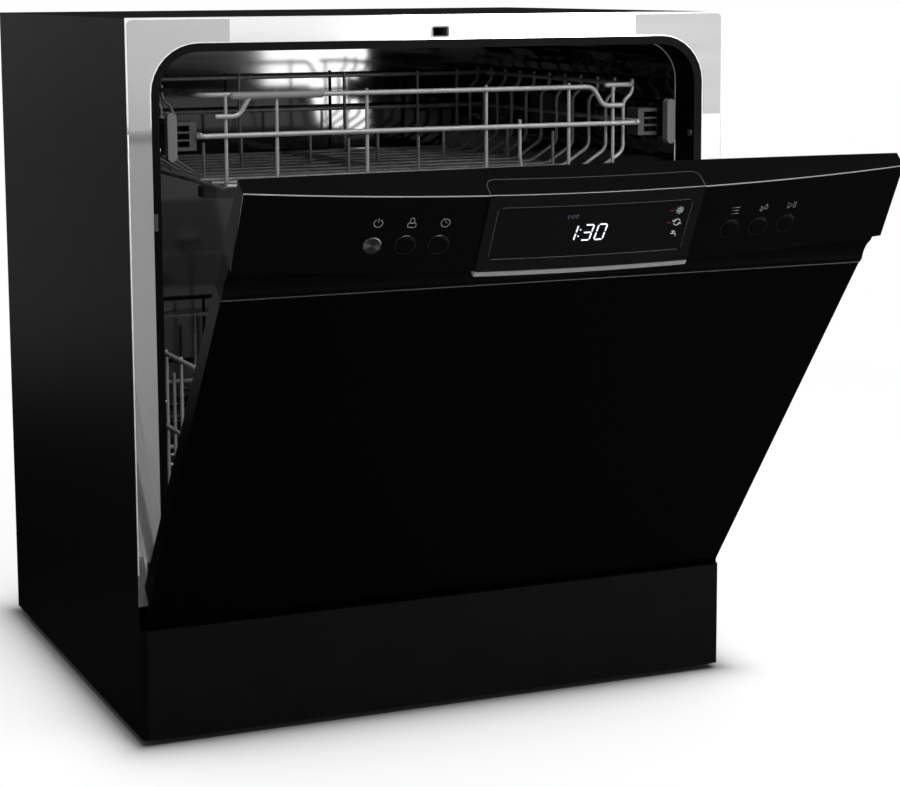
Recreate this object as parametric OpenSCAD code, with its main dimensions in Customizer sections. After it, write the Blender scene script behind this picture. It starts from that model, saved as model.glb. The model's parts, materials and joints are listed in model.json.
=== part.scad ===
// Countertop dishwasher with a drop-down door, two racks and a bowed control panel.
// Origin: centre of the cabinet's footprint, on the counter. +Y is the back, -Y the door side, +Z up.
// The door is drawn closed and then swung to its rest angle about the hinge axis.

/* [Cabinet] */
// Width over the side panels
cab_w = 550; // [520:1:600]
// Height from the counter to the top panel
cab_h = 606; // [596:1:640]
// Depth from the front frame to the back edge of the side panels
cab_d = 460; // [450:1:520]
// Thickness of the painted steel sheet
sheet = 1; // [0.8:0.1:1.4]
// Height of the feet under the cabinet
foot_h = 6; // [4:1:12]
// Diameter of each foot
foot_d = 32; // [24:1:40]
// Distance of the feet from the cabinet's edges
foot_inset = 42; // [38:1:60]

/* [Base] */
// Wall thickness of the moulded base
base_wall = 3; // [2.5:0.1:4]
// Height of the plinth's top edge above the counter
plinth_top = 100; // [96:1:110]
// How far the plinth stands ahead of the front frame
plinth_proud = 6; // [5:0.5:9]
// Wall thickness of the plinth
plinth_wall = 3; // [2:0.5:4]
// Depth of the recess for the connections at the back
recess_d = 30; // [24:1:36]

/* [Front frame] */
// Height of the frame above the opening
frame_top = 21; // [18:1:24]
// Width of the frame beside the opening
frame_side = 20.5; // [19.5:0.5:24]
// Corner radius of the opening
opening_r = 41; // [30:1:50]
// Thickness of the frame sheet
frame_t = 1; // [0.8:0.1:1.4]
// Depth of the frame's return lip, which holds the door seal
lip_d = 13; // [11:1:16]
// Width of the latch slot
latch_w = 17; // [14:1:24]
// Height of the latch slot
latch_h = 10; // [9:0.5:12]

/* [Tub] */
// Step from the opening's edge to the inside of the tub wall
tub_step = 4.5; // [4:0.5:6]
// Thickness of the tub sheet
tub_wall = 1; // [0.8:0.1:1.2]
// Inside depth of the tub
tub_d = 392; // [380:1:398]
// Corner radius inside the tub
tub_r = 36; // [26:1:44]
// Diameter of the sump opening in the tub floor
sump_d = 124; // [110:1:140]

/* [Door] */
// Angle that the door stands open at rest
rest_angle = 37; // [0:1:60]
// Hinge axis behind the front frame
hinge_back = 10; // [9:0.5:12]
// Hinge axis above the door's bottom edge
hinge_rise = 17; // [15:0.5:20]
// Clearance between the fully open door and the plinth
swing_gap = 5; // [4:0.5:8]
// Front face of the door ahead of the front frame
door_stand = 18; // [17:0.5:22]
// Gap between the closed door and the front frame
door_gap = 1; // [0.5:0.25:2]
// Door edge inside the cabinet's side
door_inset = 3; // [2:0.5:5]
// Top of the closed door below the cabinet's top
door_drop = 6; // [4:1:10]
// Depth of the liner's pan behind the front frame
pan_d = 12; // [9:0.5:12.5]
// Diameter of the hinge pins
pin_d = 8; // [6:0.5:9]

/* [Control panel] */
// Height of the control panel
fascia_h = 68; // [62:1:74]
// Height of the grip recess under the control panel
grip_h = 35; // [30:1:40]
// Forward bow of the control panel in the middle
bow = 15; // [8:0.5:20]
// How far the panel's lower edge stands ahead of the door face
fascia_proud = 8; // [6:0.5:10]
// How far the panel leans back from its lower to its upper front edge
fascia_lean = 11; // [8:0.5:13]
// Wall thickness of the mouldings
fascia_wall = 2.5; // [2:0.1:3]
// Width of the centre display module
module_w = 178; // [170:1:190]
// Width of the display window
window_w = 160; // [140:1:162]
// Height of the display window
window_h = 43.5; // [36:0.5:46]
// Diameter of each push button
button_d = 14; // [12:0.5:15]
// Distance between neighbouring buttons
button_pitch = 25.6; // [22:0.2:28]
// Distance of each group's middle button from the centre
button_x = 147; // [142:1:160]
// Travel of each push button
button_travel = 1.5; // [1:0.1:2]

/* [Racks] */
// Diameter of the rim wires
rim_d = 5; // [4:0.2:6]
// Diameter of the grid wires and tines
wire_d = 3.6; // [3:0.2:4]
// Height of the upper rack's top rim below the cabinet's top
upper_drop = 66; // [62:1:72]
// Height of the upper rack's basket
upper_h = 72; // [64:1:80]
// Clearance from the frame to the front of the racks
rack_back = 30; // [28:1:40]
// Height of the lower rack's basket
lower_h = 130; // [110:1:140]
// Height of the lower rack's floor above the tub's floor
lower_rise = 40; // [38:1:46]
// Diameter of the lower rack's wheels
wheel_d = 28; // [24:1:32]
// How far the lower rack has moved out when the door is fully open
rack_out = 100; // [60:5:110]
// Height of the upper rack's rails
rail_h = 30; // [26:1:34]
// Width of the upper rack's rails
rail_w = 10; // [9:0.5:12]
// Radius of the upper rack's rollers
roller_r = 13; // [10:0.5:13]

/* [Spray arms] */
// Length of the lower spray arm
lower_arm_l = 360; // [300:5:370]
// Length of the upper spray arm
upper_arm_l = 300; // [260:5:310]
// Radius of the shafts that the spray arms turn on
arm_shaft_r = 8; // [6:0.5:10]

/* [Hidden] */
$fn = 48;

// Clearances between pieces
fit = 0.3;        // between neighbouring solids that don't bear on each other
running = 0.05;   // radial clearance of pins and shafts
arc_fn = 720;     // fineness of the long, shallow bow

// Places shared by several pieces, measured from the origin
half_w = cab_w / 2;
front_y = -cab_d / 2;
back_y = cab_d / 2;
open_x = half_w - frame_side;
open_top = cab_h - frame_top;
seal_t = 7;
seal_x = open_x - seal_t;
tub_x = open_x - tub_step;
tub_top = open_top - tub_step;
tub_front = front_y + lip_d;
tub_back = tub_front + tub_d;
tub_mid_y = (tub_front + tub_back) / 2;

// Hinge and door
hinge_y = front_y + hinge_back;
hinge_z = plinth_top + swing_gap + hinge_back + door_stand;
tub_floor = hinge_z + 8;
face_y = front_y - door_stand;
door_z = hinge_z - hinge_rise;
door_x = half_w - door_inset;
door_h = cab_h - door_drop - door_z;
door_back = front_y - door_gap;
panel_h = door_h - fascia_h - grip_h - fit;
pan_x = seal_x - 2;
pan_z0 = hinge_z + 14;
pan_z1 = open_top - seal_t - 2;
pan_back = front_y + pan_d;
flange_x = open_x - 2;
arm_x = half_w - 13;
arm_t = 3;

// Control panel: a leaning section swept along a shallow arc
fascia_x = door_x + 1;
bow_r = (fascia_x * fascia_x + bow * bow) / (2 * bow);
sweep_half = asin(fascia_x / (bow_r - 60)) + 0.2;
fascia_z0 = door_z + door_h - fascia_h;
fascia_z1 = door_z + door_h;
front_edge_z = fascia_z1 - 3;
lean_angle = atan(fascia_lean / (front_edge_z - fascia_z0));
fascia_back = front_y - door_gap - 0.5;
button_z = fascia_z0 + 24;
board_z0 = fascia_z0 + 12;
board_z1 = fascia_z0 + 55;
board_y = face_y + 9;
board_t = 1.6;
board_x = button_x + button_pitch + 14;
switch_h = 4;

// Racks
upper_top = cab_h - upper_drop;
upper_floor = upper_top - upper_h;
rail_x1 = seal_x - 10;
rail_x0 = rail_x1 - rail_w;
rail_z0 = upper_top - 47;
rail_z1 = rail_z0 + rail_h;
roller_z = rail_z0 + 1 + fit + roller_r;
rack_x = rail_x0 - 23;
rack_y0 = front_y + rack_back;
rack_y1 = tub_back - 20;
upper_out = 200;
roller_y = [rack_y0 + upper_out + 15, rack_y1 - 18];
lower_shift = -rack_out * rest_angle / 90;
lower_floor = tub_floor + lower_rise;
lower_top = lower_floor + lower_h;
lower_x = rack_x + 8;
wheel_y = [rack_y0 + 60, rack_y1 - 60];
wheel_z = tub_floor + fit + wheel_d / 2;

// Spray arms, sump and pumps
arm_boss_r = arm_shaft_r + 5;
sump_floor = foot_h + 34;
lower_arm_z = tub_floor + 17;
upper_arm_z = upper_floor - 24;
pump_y = tub_mid_y;
pump_z = foot_h + 58;
pump_r = 40;
pump_x = sump_d / 2 + 14;
drain_x = -sump_d / 2 - 14;
inlet_x = -half_w + 70;
outlet_x = -half_w + 130;
gland_x = half_w - 70;
port_z = foot_h + 54;
wall_y = back_y - recess_d;
valve_y0 = wall_y - 33;

// ---------- shapes that repeat ----------

// Box from its limits along each axis
module block(x, y, z) {
    translate([x[0], y[0], z[0]]) cube([x[1] - x[0], y[1] - y[0], z[1] - z[0]]);
}
// The same piece on the left and on the right
module both_sides() {
    children();
    mirror([1, 0, 0]) children();
}
// An outline in X and Z, thickened from y0 to y1
module along_y(y0, y1) {
    translate([0, y1, 0]) rotate([90, 0, 0]) linear_extrude(y1 - y0) children();
}
// An outline in Y and Z, thickened from x0 to x1
module along_x(x0, x1) {
    translate([x0, 0, 0]) rotate([90, 0, 90]) linear_extrude(x1 - x0) children();
}
// Round bar along X, Y or Z
module bar_x(x0, x1, y, z, r) {
    translate([x0, y, z]) rotate([0, 90, 0]) cylinder(r = r, h = x1 - x0);
}
module bar_y(x, y0, y1, z, r) {
    translate([x, y1, z]) rotate([90, 0, 0]) cylinder(r = r, h = y1 - y0);
}
module bar_z(x, y, z0, z1, r) {
    translate([x, y, z0]) cylinder(r = r, h = z1 - z0);
}
// Straight length of wire between two points
module wire(a, b, d) {
    v = b - a;
    l = norm(v);
    translate(a) rotate([0, acos(v[2] / l), atan2(v[1], v[0])]) cylinder(d = d, h = l, $fn = 8);
}
// A bent wire through a list of points
module bent_wire(p, d) {
    for (i = [0 : len(p) - 2]) wire(p[i], p[i + 1], d);
}
// Outline of a rectangle whose four corners are round
function rounded(x0, x1, z0, z1, r, n = 8) = [
    for (c = [[x1 - r, z1 - r, 0], [x0 + r, z1 - r, 90], [x0 + r, z0 + r, 180], [x1 - r, z0 + r, 270]])
        for (i = [0 : n]) [c[0] + r * cos(c[2] + 90 * i / n), c[1] + r * sin(c[2] + 90 * i / n)]
];
// Outline of an opening that is round at the top and runs down to z0
function arch(x, z0, z1, r, n = 8) = [
    [-x, z0], [x, z0],
    for (i = [0 : n]) [x - r + r * cos(90 * i / n), z1 - r + r * sin(90 * i / n)],
    for (i = [0 : n]) [-x + r - r * sin(90 * i / n), z1 - r + r * cos(90 * i / n)]
];
// Swings door pieces from closed to their rest angle
module on_door() {
    translate([0, hinge_y, hinge_z]) rotate([rest_angle, 0, 0]) translate([0, -hinge_y, -hinge_z])
        children();
}
// Sweeps a section given as [distance ahead of the door face, height] along the bow
module bowed(points) {
    translate([0, face_y + bow_r - bow, 0]) rotate([0, 0, -90 - sweep_half])
        rotate_extrude(angle = 2 * sweep_half, $fn = arc_fn)
            polygon([for (p = points) [bow_r + p[0], p[1]]]);
}
// How far the panel's front stands ahead of the door face at a place across and up it
function front_at(x, z) = fascia_proud - fascia_lean * (z - fascia_z0) / (front_edge_z - fascia_z0)
    + sqrt(bow_r * bow_r - x * x) - bow_r + bow;
// Puts a piece on the panel's front, with its own +Z pointing out of the panel
module on_front(x, z) {
    translate([x, face_y - front_at(x, z), z])
        rotate([90 - lean_angle, 0, asin(x / bow_r)]) children();
}

// ---------- cabinet ----------

module outer_wrap() {
    color("#1c1c1c") difference() {
        block([-half_w, half_w], [front_y + frame_t + 0.1, back_y], [foot_h, cab_h - fit]);
        block([-half_w + sheet, half_w - sheet], [front_y - 1, back_y + 1],
              [foot_h - 1, cab_h - fit - sheet]);
    }
}

module rear_panel() {
    x = half_w - sheet - fit;
    color("#303030") difference() {
        block([-x, x], [back_y - sheet - 1, back_y - 1], [wall_top + fit, cab_h - 2 * fit - sheet]);
        for (i = [-4 : 4])
            block([i * 26 - 9, i * 26 + 9], [back_y - sheet - 2, back_y], [wall_top + 30, wall_top + 34]);
    }
}
wall_top = tub_floor - tub_wall - 16;

module base_pan() {
    x = half_w - sheet - fit;
    floor_z = foot_h + 1;
    low_top = plinth_top - 9;
    sill_y = hinge_y + hinge_rise + 5;
    color("#2b2b2b") difference() {
        union() {
            block([-x, x], [front_y + 4, wall_y], [floor_z, floor_z + base_wall]);
            block([-x, x], [front_y + 4, front_y + 4 + base_wall], [floor_z, low_top]);
            block([-x, x], [wall_y - base_wall, wall_y], [floor_z, wall_top]);
            block([-tub_x + tub_r, tub_x - tub_r], [sill_y, sill_y + base_wall],
                  [floor_z, tub_floor - tub_wall]);
            block([-tub_x + tub_r, tub_x - tub_r], [rib_y, rib_y + base_wall],
                  [floor_z, tub_floor - tub_wall]);
            both_sides() {
                block([x - base_wall, x], [front_y + 4, sill_y], [floor_z, low_top]);
                block([x - base_wall, x], [sill_y, back_y - 2 * sheet - 1], [floor_z, wall_top]);
                for (y = feet_y) bar_z(half_w - foot_inset, y, floor_z, floor_z + 16, 9);
            }
        }
        both_sides() for (y = feet_y) bar_z(half_w - foot_inset, y, 0, floor_z + 20, foot_bore_r);
        bar_y(inlet_x, wall_y - 8, wall_y + 8, port_z, inlet_r + collar + fit);
        bar_y(outlet_x, wall_y - 8, wall_y + 8, port_z, outlet_r + collar + fit);
        bar_y(gland_x, wall_y - 8, wall_y + 8, port_z, gland_r + fit);
    }
}
rib_y = min(tub_back - 12, valve_y0 - base_wall - 1);
feet_y = [front_y + foot_inset, back_y - foot_inset];
foot_bore_r = 4.2;
inlet_r = 13.2;
outlet_r = 10.5;
collar = 2;
gland_r = 9;

module plinth() {
    z = [foot_h, plinth_top];
    y = front_y - plinth_proud;
    r = 6;
    color("#141414") difference() {
        translate([0, 0, z[0]]) linear_extrude(z[1] - z[0]) difference() {
            polygon(rounded(-half_w, half_w, y, y + plinth_proud + 20, r));
            translate([-half_w - 1, front_y + frame_t]) square([cab_w + 2, 30]);
        }
        block([-half_w + plinth_wall, half_w - plinth_wall], [y + plinth_wall, front_y + frame_t + 1],
              [z[0] - 1, z[1] - plinth_wall]);
    }
}

module feet() {
    color("#101010") both_sides() for (y = feet_y) {
        bar_z(half_w - foot_inset, y, 0, foot_h + 1, foot_d / 2);
        bar_z(half_w - foot_inset, y, foot_h, foot_h + 14, foot_bore_r - 0.2);
    }
}

// ---------- front frame and tub ----------

module front_frame() {
    bottom = hinge_z - 13;
    color("#d5d7d8") difference() {
        union() {
            along_y(front_y, front_y + frame_t) difference() {
                translate([-half_w, bottom]) square([cab_w, cab_h - bottom]);
                polygon(arch(open_x, bottom - 1, open_top, opening_r));
            }
            along_y(front_y, front_y + lip_d) difference() {
                polygon(arch(open_x + frame_t, bottom, open_top + frame_t, opening_r + frame_t));
                polygon(arch(open_x, bottom - 1, open_top, opening_r));
            }
        }
        block([-latch_w / 2, latch_w / 2], [front_y - 1, front_y + frame_t + 1],
              [latch_mid - latch_h / 2, latch_mid + latch_h / 2]);
        both_sides() block([arm_x - 5, arm_x + 5], [front_y - 1, front_y + frame_t + 1],
                           [bottom - 1, hinge_z + 24]);
    }
}
latch_mid = cab_h - 14.5;

module tub() {
    color("#b9bcbf") difference() {
        union() {
            along_y(tub_front, tub_back) polygon(rounded(-tub_x - tub_wall, tub_x + tub_wall,
                tub_floor - tub_wall, tub_top + tub_wall, tub_r + tub_wall));
            along_y(tub_front + 0.1, tub_front + 0.1 + tub_wall)
                polygon(rounded(-open_x - frame_t, open_x + frame_t, tub_floor - tub_wall,
                                open_top + frame_t, opening_r));
        }
        along_y(tub_front - 1, tub_back - tub_wall)
            polygon(rounded(-tub_x, tub_x, tub_floor, tub_top, tub_r));
        bar_z(0, tub_mid_y, tub_floor - 5, tub_floor + 5, sump_d / 2);
        bar_z(salt_x, salt_y, tub_floor - 5, tub_floor + 5, salt_r + fit);
    }
}
salt_x = -tub_x + 85;
salt_y = rib_y - 50;
salt_r = 27;

// Seal round the sides and top of the opening, and the sill seal along the bottom
module door_seal() {
    lip = tub_floor - tub_wall;
    color("#0c0c0c") {
        along_y(front_y + frame_t + 0.2, tub_front - 0.3) difference() {
            polygon(arch(open_x - 0.2, hinge_z + 8, open_top - 0.2, opening_r));
            polygon(arch(seal_x, hinge_z + 7, open_top - seal_t, opening_r - seal_t));
        }
        along_x(-seal_x + 1, seal_x - 1)
            polygon(rounded(front_y + 2, tub_front - fit, hinge_z - 1, tub_floor - 0.5, 3, 5));
        block([-seal_x + 1, seal_x - 1], [tub_front - 3, tub_front + 8], [lip - 2.2, lip - 0.2]);
    }
}

module latch_housing() {
    z = [open_top + frame_t + 0.2, latch_mid + latch_h / 2 + 2];
    y0 = front_y + frame_t + 0.1;
    color("#3a3a3a") difference() {
        union() {
            block([-22, 22], [y0, y0 + 34], z);
            block([-latch_w / 2 + 0.2, latch_w / 2 - 0.2], [front_y - 0.6, y0],
                  [latch_mid - latch_h / 2 + 0.2, latch_mid + latch_h / 2 - 0.2]);
        }
        block([-latch_w / 2 + 2, latch_w / 2 - 2], [front_y - 2, y0 + 28],
              [latch_mid - latch_h / 2 + 1.6, latch_mid + latch_h / 2 - 1.6]);
    }
}

module seal_clips() {
    color("#9b9b9b") both_sides()
        block([open_x - 3.5, open_x - 0.3], [front_y - 0.8, front_y + frame_t + 0.1],
              [clip_z - 7, clip_z + 7]);
}
clip_z = open_top - 145;

module frame_screws() {
    color("#c9c9c9") {
        both_sides() for (z = [hinge_z + 157, open_top - opening_r - 46])
            bar_x(seal_x - 1.4, seal_x, front_y + lip_d / 2 + 1, z, 3);
        both_sides() for (z = [wall_top + 14, cab_h - 16])
            bar_y(half_w - 14, back_y - 1, back_y - 0.1, z, 3.5);
    }
}

// ---------- door hinges ----------

// Brackets with the riveted pins that the door's arms turn on
module hinge_brackets() {
    z = [hinge_z - 12, hinge_z + 30];
    color("#8d9093") both_sides() {
        block([arm_x - 6, arm_x - 4], [hinge_y - 8, hinge_y + 60], z);
        block([arm_x + 4, arm_x + 6], [hinge_y - 8, hinge_y + 60], z);
        block([arm_x - 6, arm_x + 6], [hinge_y + 48, hinge_y + 60], z);
        block([arm_x + 5, half_w - sheet - fit], [hinge_y + 30, hinge_y + 56],
              [wall_top + 0.1, hinge_z + 4]);
        bar_x(arm_x - 6, arm_x + 7, hinge_y, hinge_z, pin_d / 2);
        bar_x(arm_x + 5.5, arm_x + 7.4, hinge_y, hinge_z, pin_d / 2 + 2);
    }
}

// Extension springs behind the hinges, drawn as the stack of their turns
module door_springs() {
    y0 = hinge_y + 66;
    color("#8a8a8a") both_sides() {
        for (i = [0 : 13])
            translate([arm_x, y0 + i * 4.2, hinge_z + 12]) rotate([90, 0, 0])
                rotate_extrude($fn = 24) translate([4.5, 0]) circle(d = 2.4, $fn = 8);
        block([arm_x - 1, arm_x + 1], [hinge_y + 60.2, y0 + 14 * 4.2], [hinge_z + 6.2, hinge_z + 8.4]);
    }
}

module hinge_arms() {
    neck = 9;
    y0 = face_y + 5;
    y1 = door_back - 2;
    color("#9a9da0") both_sides() on_door() difference() {
        union() {
            bar_x(arm_x - arm_t / 2, arm_x + arm_t / 2, hinge_y, hinge_z, neck);
            along_x(arm_x - arm_t / 2, arm_x + arm_t / 2) polygon([
                [hinge_y, hinge_z - neck], [hinge_y, hinge_z + neck], [y1, hinge_z + neck + 12],
                [y1, hinge_z + 190], [y0, hinge_z + 190], [y0, hinge_z - neck]]);
            block([arm_x - arm_t / 2, door_x - sheet - 0.1], [y0, y0 + 8], [hinge_z + 40, hinge_z + 56]);
            block([arm_x - arm_t / 2, door_x - sheet - 0.1], [y0, y0 + 8], [hinge_z + 150, hinge_z + 166]);
        }
        bar_x(arm_x - 3, arm_x + 3, hinge_y, hinge_z, pin_d / 2 + running);
    }
}

// ---------- rails for the upper rack ----------

// Channel rails that the rack's rollers run in, with their blocks on the tub wall
module side_rails() {
    color("#c2c4c6") both_sides() {
        difference() {
            block([rail_x0, rail_x1], [front_y + 25, tub_back - 6], [rail_z0, rail_z1]);
            block([rail_x0 - 1, rail_x1 - 1], [front_y + 24, tub_back], [rail_z0 + 1, rail_z1 - 1]);
        }
        for (y = [front_y + 60, tub_back - 70])
            block([rail_x1 - 0.5, tub_x - 0.1], [y, y + 26], [rail_z0 + 4, rail_z1 - 4]);
    }
}

module rail_end_caps() {
    z = [rail_z0 - 5, rail_z1 + 5];
    color("#a8a8a8") both_sides() {
        along_y(front_y + 16, front_y + 24.9)
            polygon(rounded(rail_x0 + 1, rail_x1 - 1, z[0], z[1], (rail_w - 2) / 2 - 0.1));
        block([rail_x0 + 1, rail_x1 - 1], [tub_back - 5.9, tub_back - tub_wall - 0.1],
              [rail_z0 + 2, rail_z1 - 2]);
    }
}

// ---------- water system ----------

module sump() {
    r = sump_d / 2;
    color("#d8d8d6") difference() {
        union() {
            bar_z(0, tub_mid_y, sump_floor, tub_floor - tub_wall - 0.1, r + 3);
            bar_z(0, tub_mid_y, tub_floor - tub_wall - 4, tub_floor - tub_wall - 0.1, r + 12);
            bar_z(0, tub_mid_y, foot_h + 1 + base_wall, sump_floor, 20);
        }
        bar_z(0, tub_mid_y, sump_floor + 3, tub_floor, r - 3);
        bar_z(0, tub_mid_y, tub_floor - 3.1, tub_floor, r);
        bar_x(0, r + 6, tub_mid_y, pump_z, 12);
        bar_x(-r - 6, 0, tub_mid_y, pump_z, 9);
    }
}

module filter_plate() {
    r = sump_d / 2;
    color("#a9adb0") difference() {
        union() {
            bar_z(0, tub_mid_y, tub_floor - 3, tub_floor - 1.6, r - 0.4);
            bar_z(0, tub_mid_y, tub_floor - 3, lower_arm_z - 8, arm_shaft_r + 3);
            bar_z(0, tub_mid_y, lower_arm_z - 8, lower_arm_z + 8, arm_shaft_r);
        }
        bar_z(cup_x, tub_mid_y, tub_floor - 5, tub_floor + 5, cup_r + fit);
        for (a = [60 : 20 : 300], d = [26, 40])
            rotate_at(d, a) cylinder(d = 5, h = 20, center = true, $fn = 8);
    }
}
cup_x = sump_d / 2 - 25;
cup_r = 20;
module rotate_at(d, a) {
    translate([d * cos(a), tub_mid_y + d * sin(a), tub_floor - 2]) children();
}

module filter_cup() {
    color("#5d6063") difference() {
        union() {
            bar_z(cup_x, tub_mid_y, sump_floor + 22, tub_floor - 3.4, cup_r - 1.5);
            bar_z(cup_x, tub_mid_y, tub_floor - 3.4, tub_floor - 1, cup_r);
        }
        bar_z(cup_x, tub_mid_y, sump_floor + 24, tub_floor + 5, cup_r - 4);
    }
}

module circulation_pump() {
    x0 = pump_x;
    color("#cfcfcb") difference() {
        union() {
            bar_x(x0, x0 + 26, pump_y, pump_z, pump_r + 4);
            bar_x(x0 + 26, x0 + 112, pump_y, pump_z, pump_r);
            bar_x(sump_d / 2 + 3.1, x0, pump_y, pump_z, 15);
            block([x0 + 40, x0 + 96], [pump_y - 22, pump_y + 22], [foot_h + 1 + base_wall, pump_z - 20]);
        }
        bar_x(sump_d / 2, x0 + 3, pump_y, pump_z, 11);
        bar_x(x0 + 3, x0 + 23, pump_y, pump_z, pump_r);
        bar_x(x0 + 29, x0 + 104, pump_y, pump_z, 26);
        bar_x(x0 + 20, x0 + 110, pump_y, pump_z, rotor_r + running);
    }
}
rotor_r = 5;

// Impeller, shaft and magnet rotor turn as one
module circulation_rotor() {
    x0 = pump_x;
    color("#2f4f6f") {
        bar_x(x0 + 8, x0 + 109, pump_y, pump_z, rotor_r);
        bar_x(x0 + 6, x0 + 9, pump_y, pump_z, 31);
        for (a = [0 : 60 : 300]) translate([x0 + 8, pump_y, pump_z]) rotate([a, 0, 0])
            translate([0, -1.2, 6]) cube([11, 2.4, 24]);
        bar_x(x0 + 34, x0 + 96, pump_y, pump_z, 22);
    }
}

module drain_pump() {
    x1 = drain_x;
    color("#cfcfcb") difference() {
        union() {
            bar_x(x1 - 22, x1, pump_y, pump_z, 26);
            bar_x(x1 - 70, x1 - 22, pump_y, pump_z, 22);
            bar_x(x1, -sump_d / 2 - 3.1, pump_y, pump_z, 12);
            block([x1 - 60, x1 - 30], [pump_y - 14, pump_y + 14], [foot_h + 1 + base_wall, pump_z - 14]);
        }
        bar_x(x1 - 3, -sump_d / 2, pump_y, pump_z, 8);
        bar_x(x1 - 19, x1 - 3, pump_y, pump_z, 22);
        bar_x(x1 - 64, x1 - 25, pump_y, pump_z, 15);
        bar_x(x1 - 68, x1 - 10, pump_y, pump_z, 3 + running);
    }
}

module drain_rotor() {
    x1 = drain_x;
    color("#2f4f6f") {
        bar_x(x1 - 67, x1 - 6, pump_y, pump_z, 3);
        for (a = [0 : 90 : 270]) translate([x1 - 16, pump_y, pump_z]) rotate([a, 0, 0])
            translate([0, -1, 0]) cube([9, 2, 19]);
        bar_x(x1 - 60, x1 - 29, pump_y, pump_z, 12);
    }
}

module water_heater() {
    y0 = pump_y + pump_r + 14;
    x = [pump_x + 18, half_w - 85];
    color("#9fa2a5") {
        bar_x(x[0], x[1], y0 + 20, pump_z, 18);
        block([x[0] + 20, x[1] - 20], [y0 + 8, y0 + 32], [foot_h + 1 + base_wall, pump_z - 12]);
        bar_x(x[1], x[1] + 10, y0 + 20, pump_z, 12);
    }
}

module water_softener() {
    x = [salt_x - softener_left, salt_x - softener_left + softener_w];
    y = [salt_y - 34, salt_y + 30];
    z = [foot_h + 1 + base_wall + 0.1, tub_floor - tub_wall - 6];
    color("#dededa") difference() {
        union() {
            block(x, y, z);
            bar_z(salt_x, salt_y, z[1] - 1, tub_floor - tub_wall - 0.1, salt_r + 4);
            bar_z(salt_x, salt_y, tub_floor - tub_wall - 0.2, tub_floor - 0.6, salt_r - 0.2);
        }
        block([x[0] + 3, x[1] - 3], [y[0] + 3, y[1] - 3], [z[0] + 3, z[1] - 3]);
        bar_z(salt_x, salt_y, z[1] - 8, tub_floor + 5, salt_r - 4);
    }
}

softener_left = 38;
softener_w = 116;

module salt_cap() {
    color("#e4e4e0") {
        bar_z(salt_x, salt_y, tub_floor - 0.5, tub_floor + 6, salt_r);
        bar_z(salt_x, salt_y, tub_floor - 14, tub_floor - 0.5, salt_r - 4.3);
        block([salt_x - 20, salt_x + 20], [salt_y - 3, salt_y + 3], [tub_floor + 5, tub_floor + 11]);
    }
}

module inlet_valve() {
    color("#e8e8e4") difference() {
        union() {
            block([inlet_x - 18, inlet_x + 18], [valve_y0, wall_y - base_wall - 0.1],
                  [foot_h + 1 + base_wall, port_z + 18]);
            bar_y(inlet_x, wall_y - base_wall - 1, wall_y + 20, port_z, inlet_r);
            bar_y(inlet_x, wall_y - base_wall - 1, wall_y + 2, port_z, inlet_r + collar);
        }
        bar_y(inlet_x, wall_y - base_wall - 20, wall_y + 21, port_z, inlet_r - 3.2);
    }
}

module drain_spigot() {
    color("#bdbdb8") difference() {
        union() {
            block([outlet_x - 16, outlet_x + 16], [wall_y - base_wall - 14, wall_y - base_wall - 0.1],
                  [port_z - 15, port_z + 15]);
            bar_y(outlet_x, wall_y - base_wall - 1, wall_y + 24, port_z, outlet_r);
            bar_y(outlet_x, wall_y - base_wall - 1, wall_y + 2, port_z, outlet_r + collar);
        }
        bar_y(outlet_x, wall_y - base_wall - 15, wall_y + 25, port_z, outlet_r - 2.5);
    }
}

module cable_gland() {
    color("#181818") difference() {
        union() {
            bar_y(gland_x, wall_y - base_wall - 8, wall_y + 12, port_z, gland_r);
            bar_y(gland_x, wall_y + 0.1, wall_y + 6, port_z, gland_r + 3);
            bar_y(gland_x, wall_y - base_wall - 6, wall_y - base_wall - 0.1, port_z, gland_r + 3);
        }
        bar_y(gland_x, wall_y - base_wall - 9, wall_y + 13, port_z, cable_r);
    }
}
cable_r = 4;

module feed_pipe() {
    y = tub_back - tub_wall - 0.1;
    dock = upper_arm_z + 2;
    color("#dcdcda") difference() {
        union() {
            block([-17, 17], [y - 10, y], [tub_floor + 0.1, dock + 14]);
            bar_y(0, y - 17, y, dock, 11);
            block([-12, 12], [tub_mid_y + sump_d / 2 + 2, y], [tub_floor + 0.1, tub_floor + 9]);
        }
        bar_y(0, y - 18, y - 3, dock, 8);
    }
}

// A spray arm lies along X, with a hub bored for its shaft
module spray_arm(l, z, bore) {
    color("#6d7073") difference() {
        union() {
            translate([0, tub_mid_y, z - 5]) linear_extrude(10)
                polygon([[-l / 2, -9], [-l / 2 + 10, -15], [-30, -19], [30, -21], [l / 2 - 10, -15],
                         [l / 2, -9], [l / 2, 9], [l / 2 - 10, 15], [30, 19], [-30, 21],
                         [-l / 2 + 10, 15], [-l / 2, 9]]);
            bar_z(0, tub_mid_y, z - 7, z + 9, arm_boss_r + 6);
        }
        bar_z(0, tub_mid_y, z - 12, z + 14, bore + running);
        for (s = [-1, 1], i = [1 : 5])
            translate([s * (l / 2 - i * l / 13), tub_mid_y + s * 4, z])
                cylinder(d = 3, h = 20, center = true, $fn = 8);
    }
}
module lower_spray_arm() { spray_arm(lower_arm_l, lower_arm_z, arm_shaft_r); }
module upper_spray_arm() { spray_arm(upper_arm_l, upper_arm_z, arm_shaft_r); }

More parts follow.
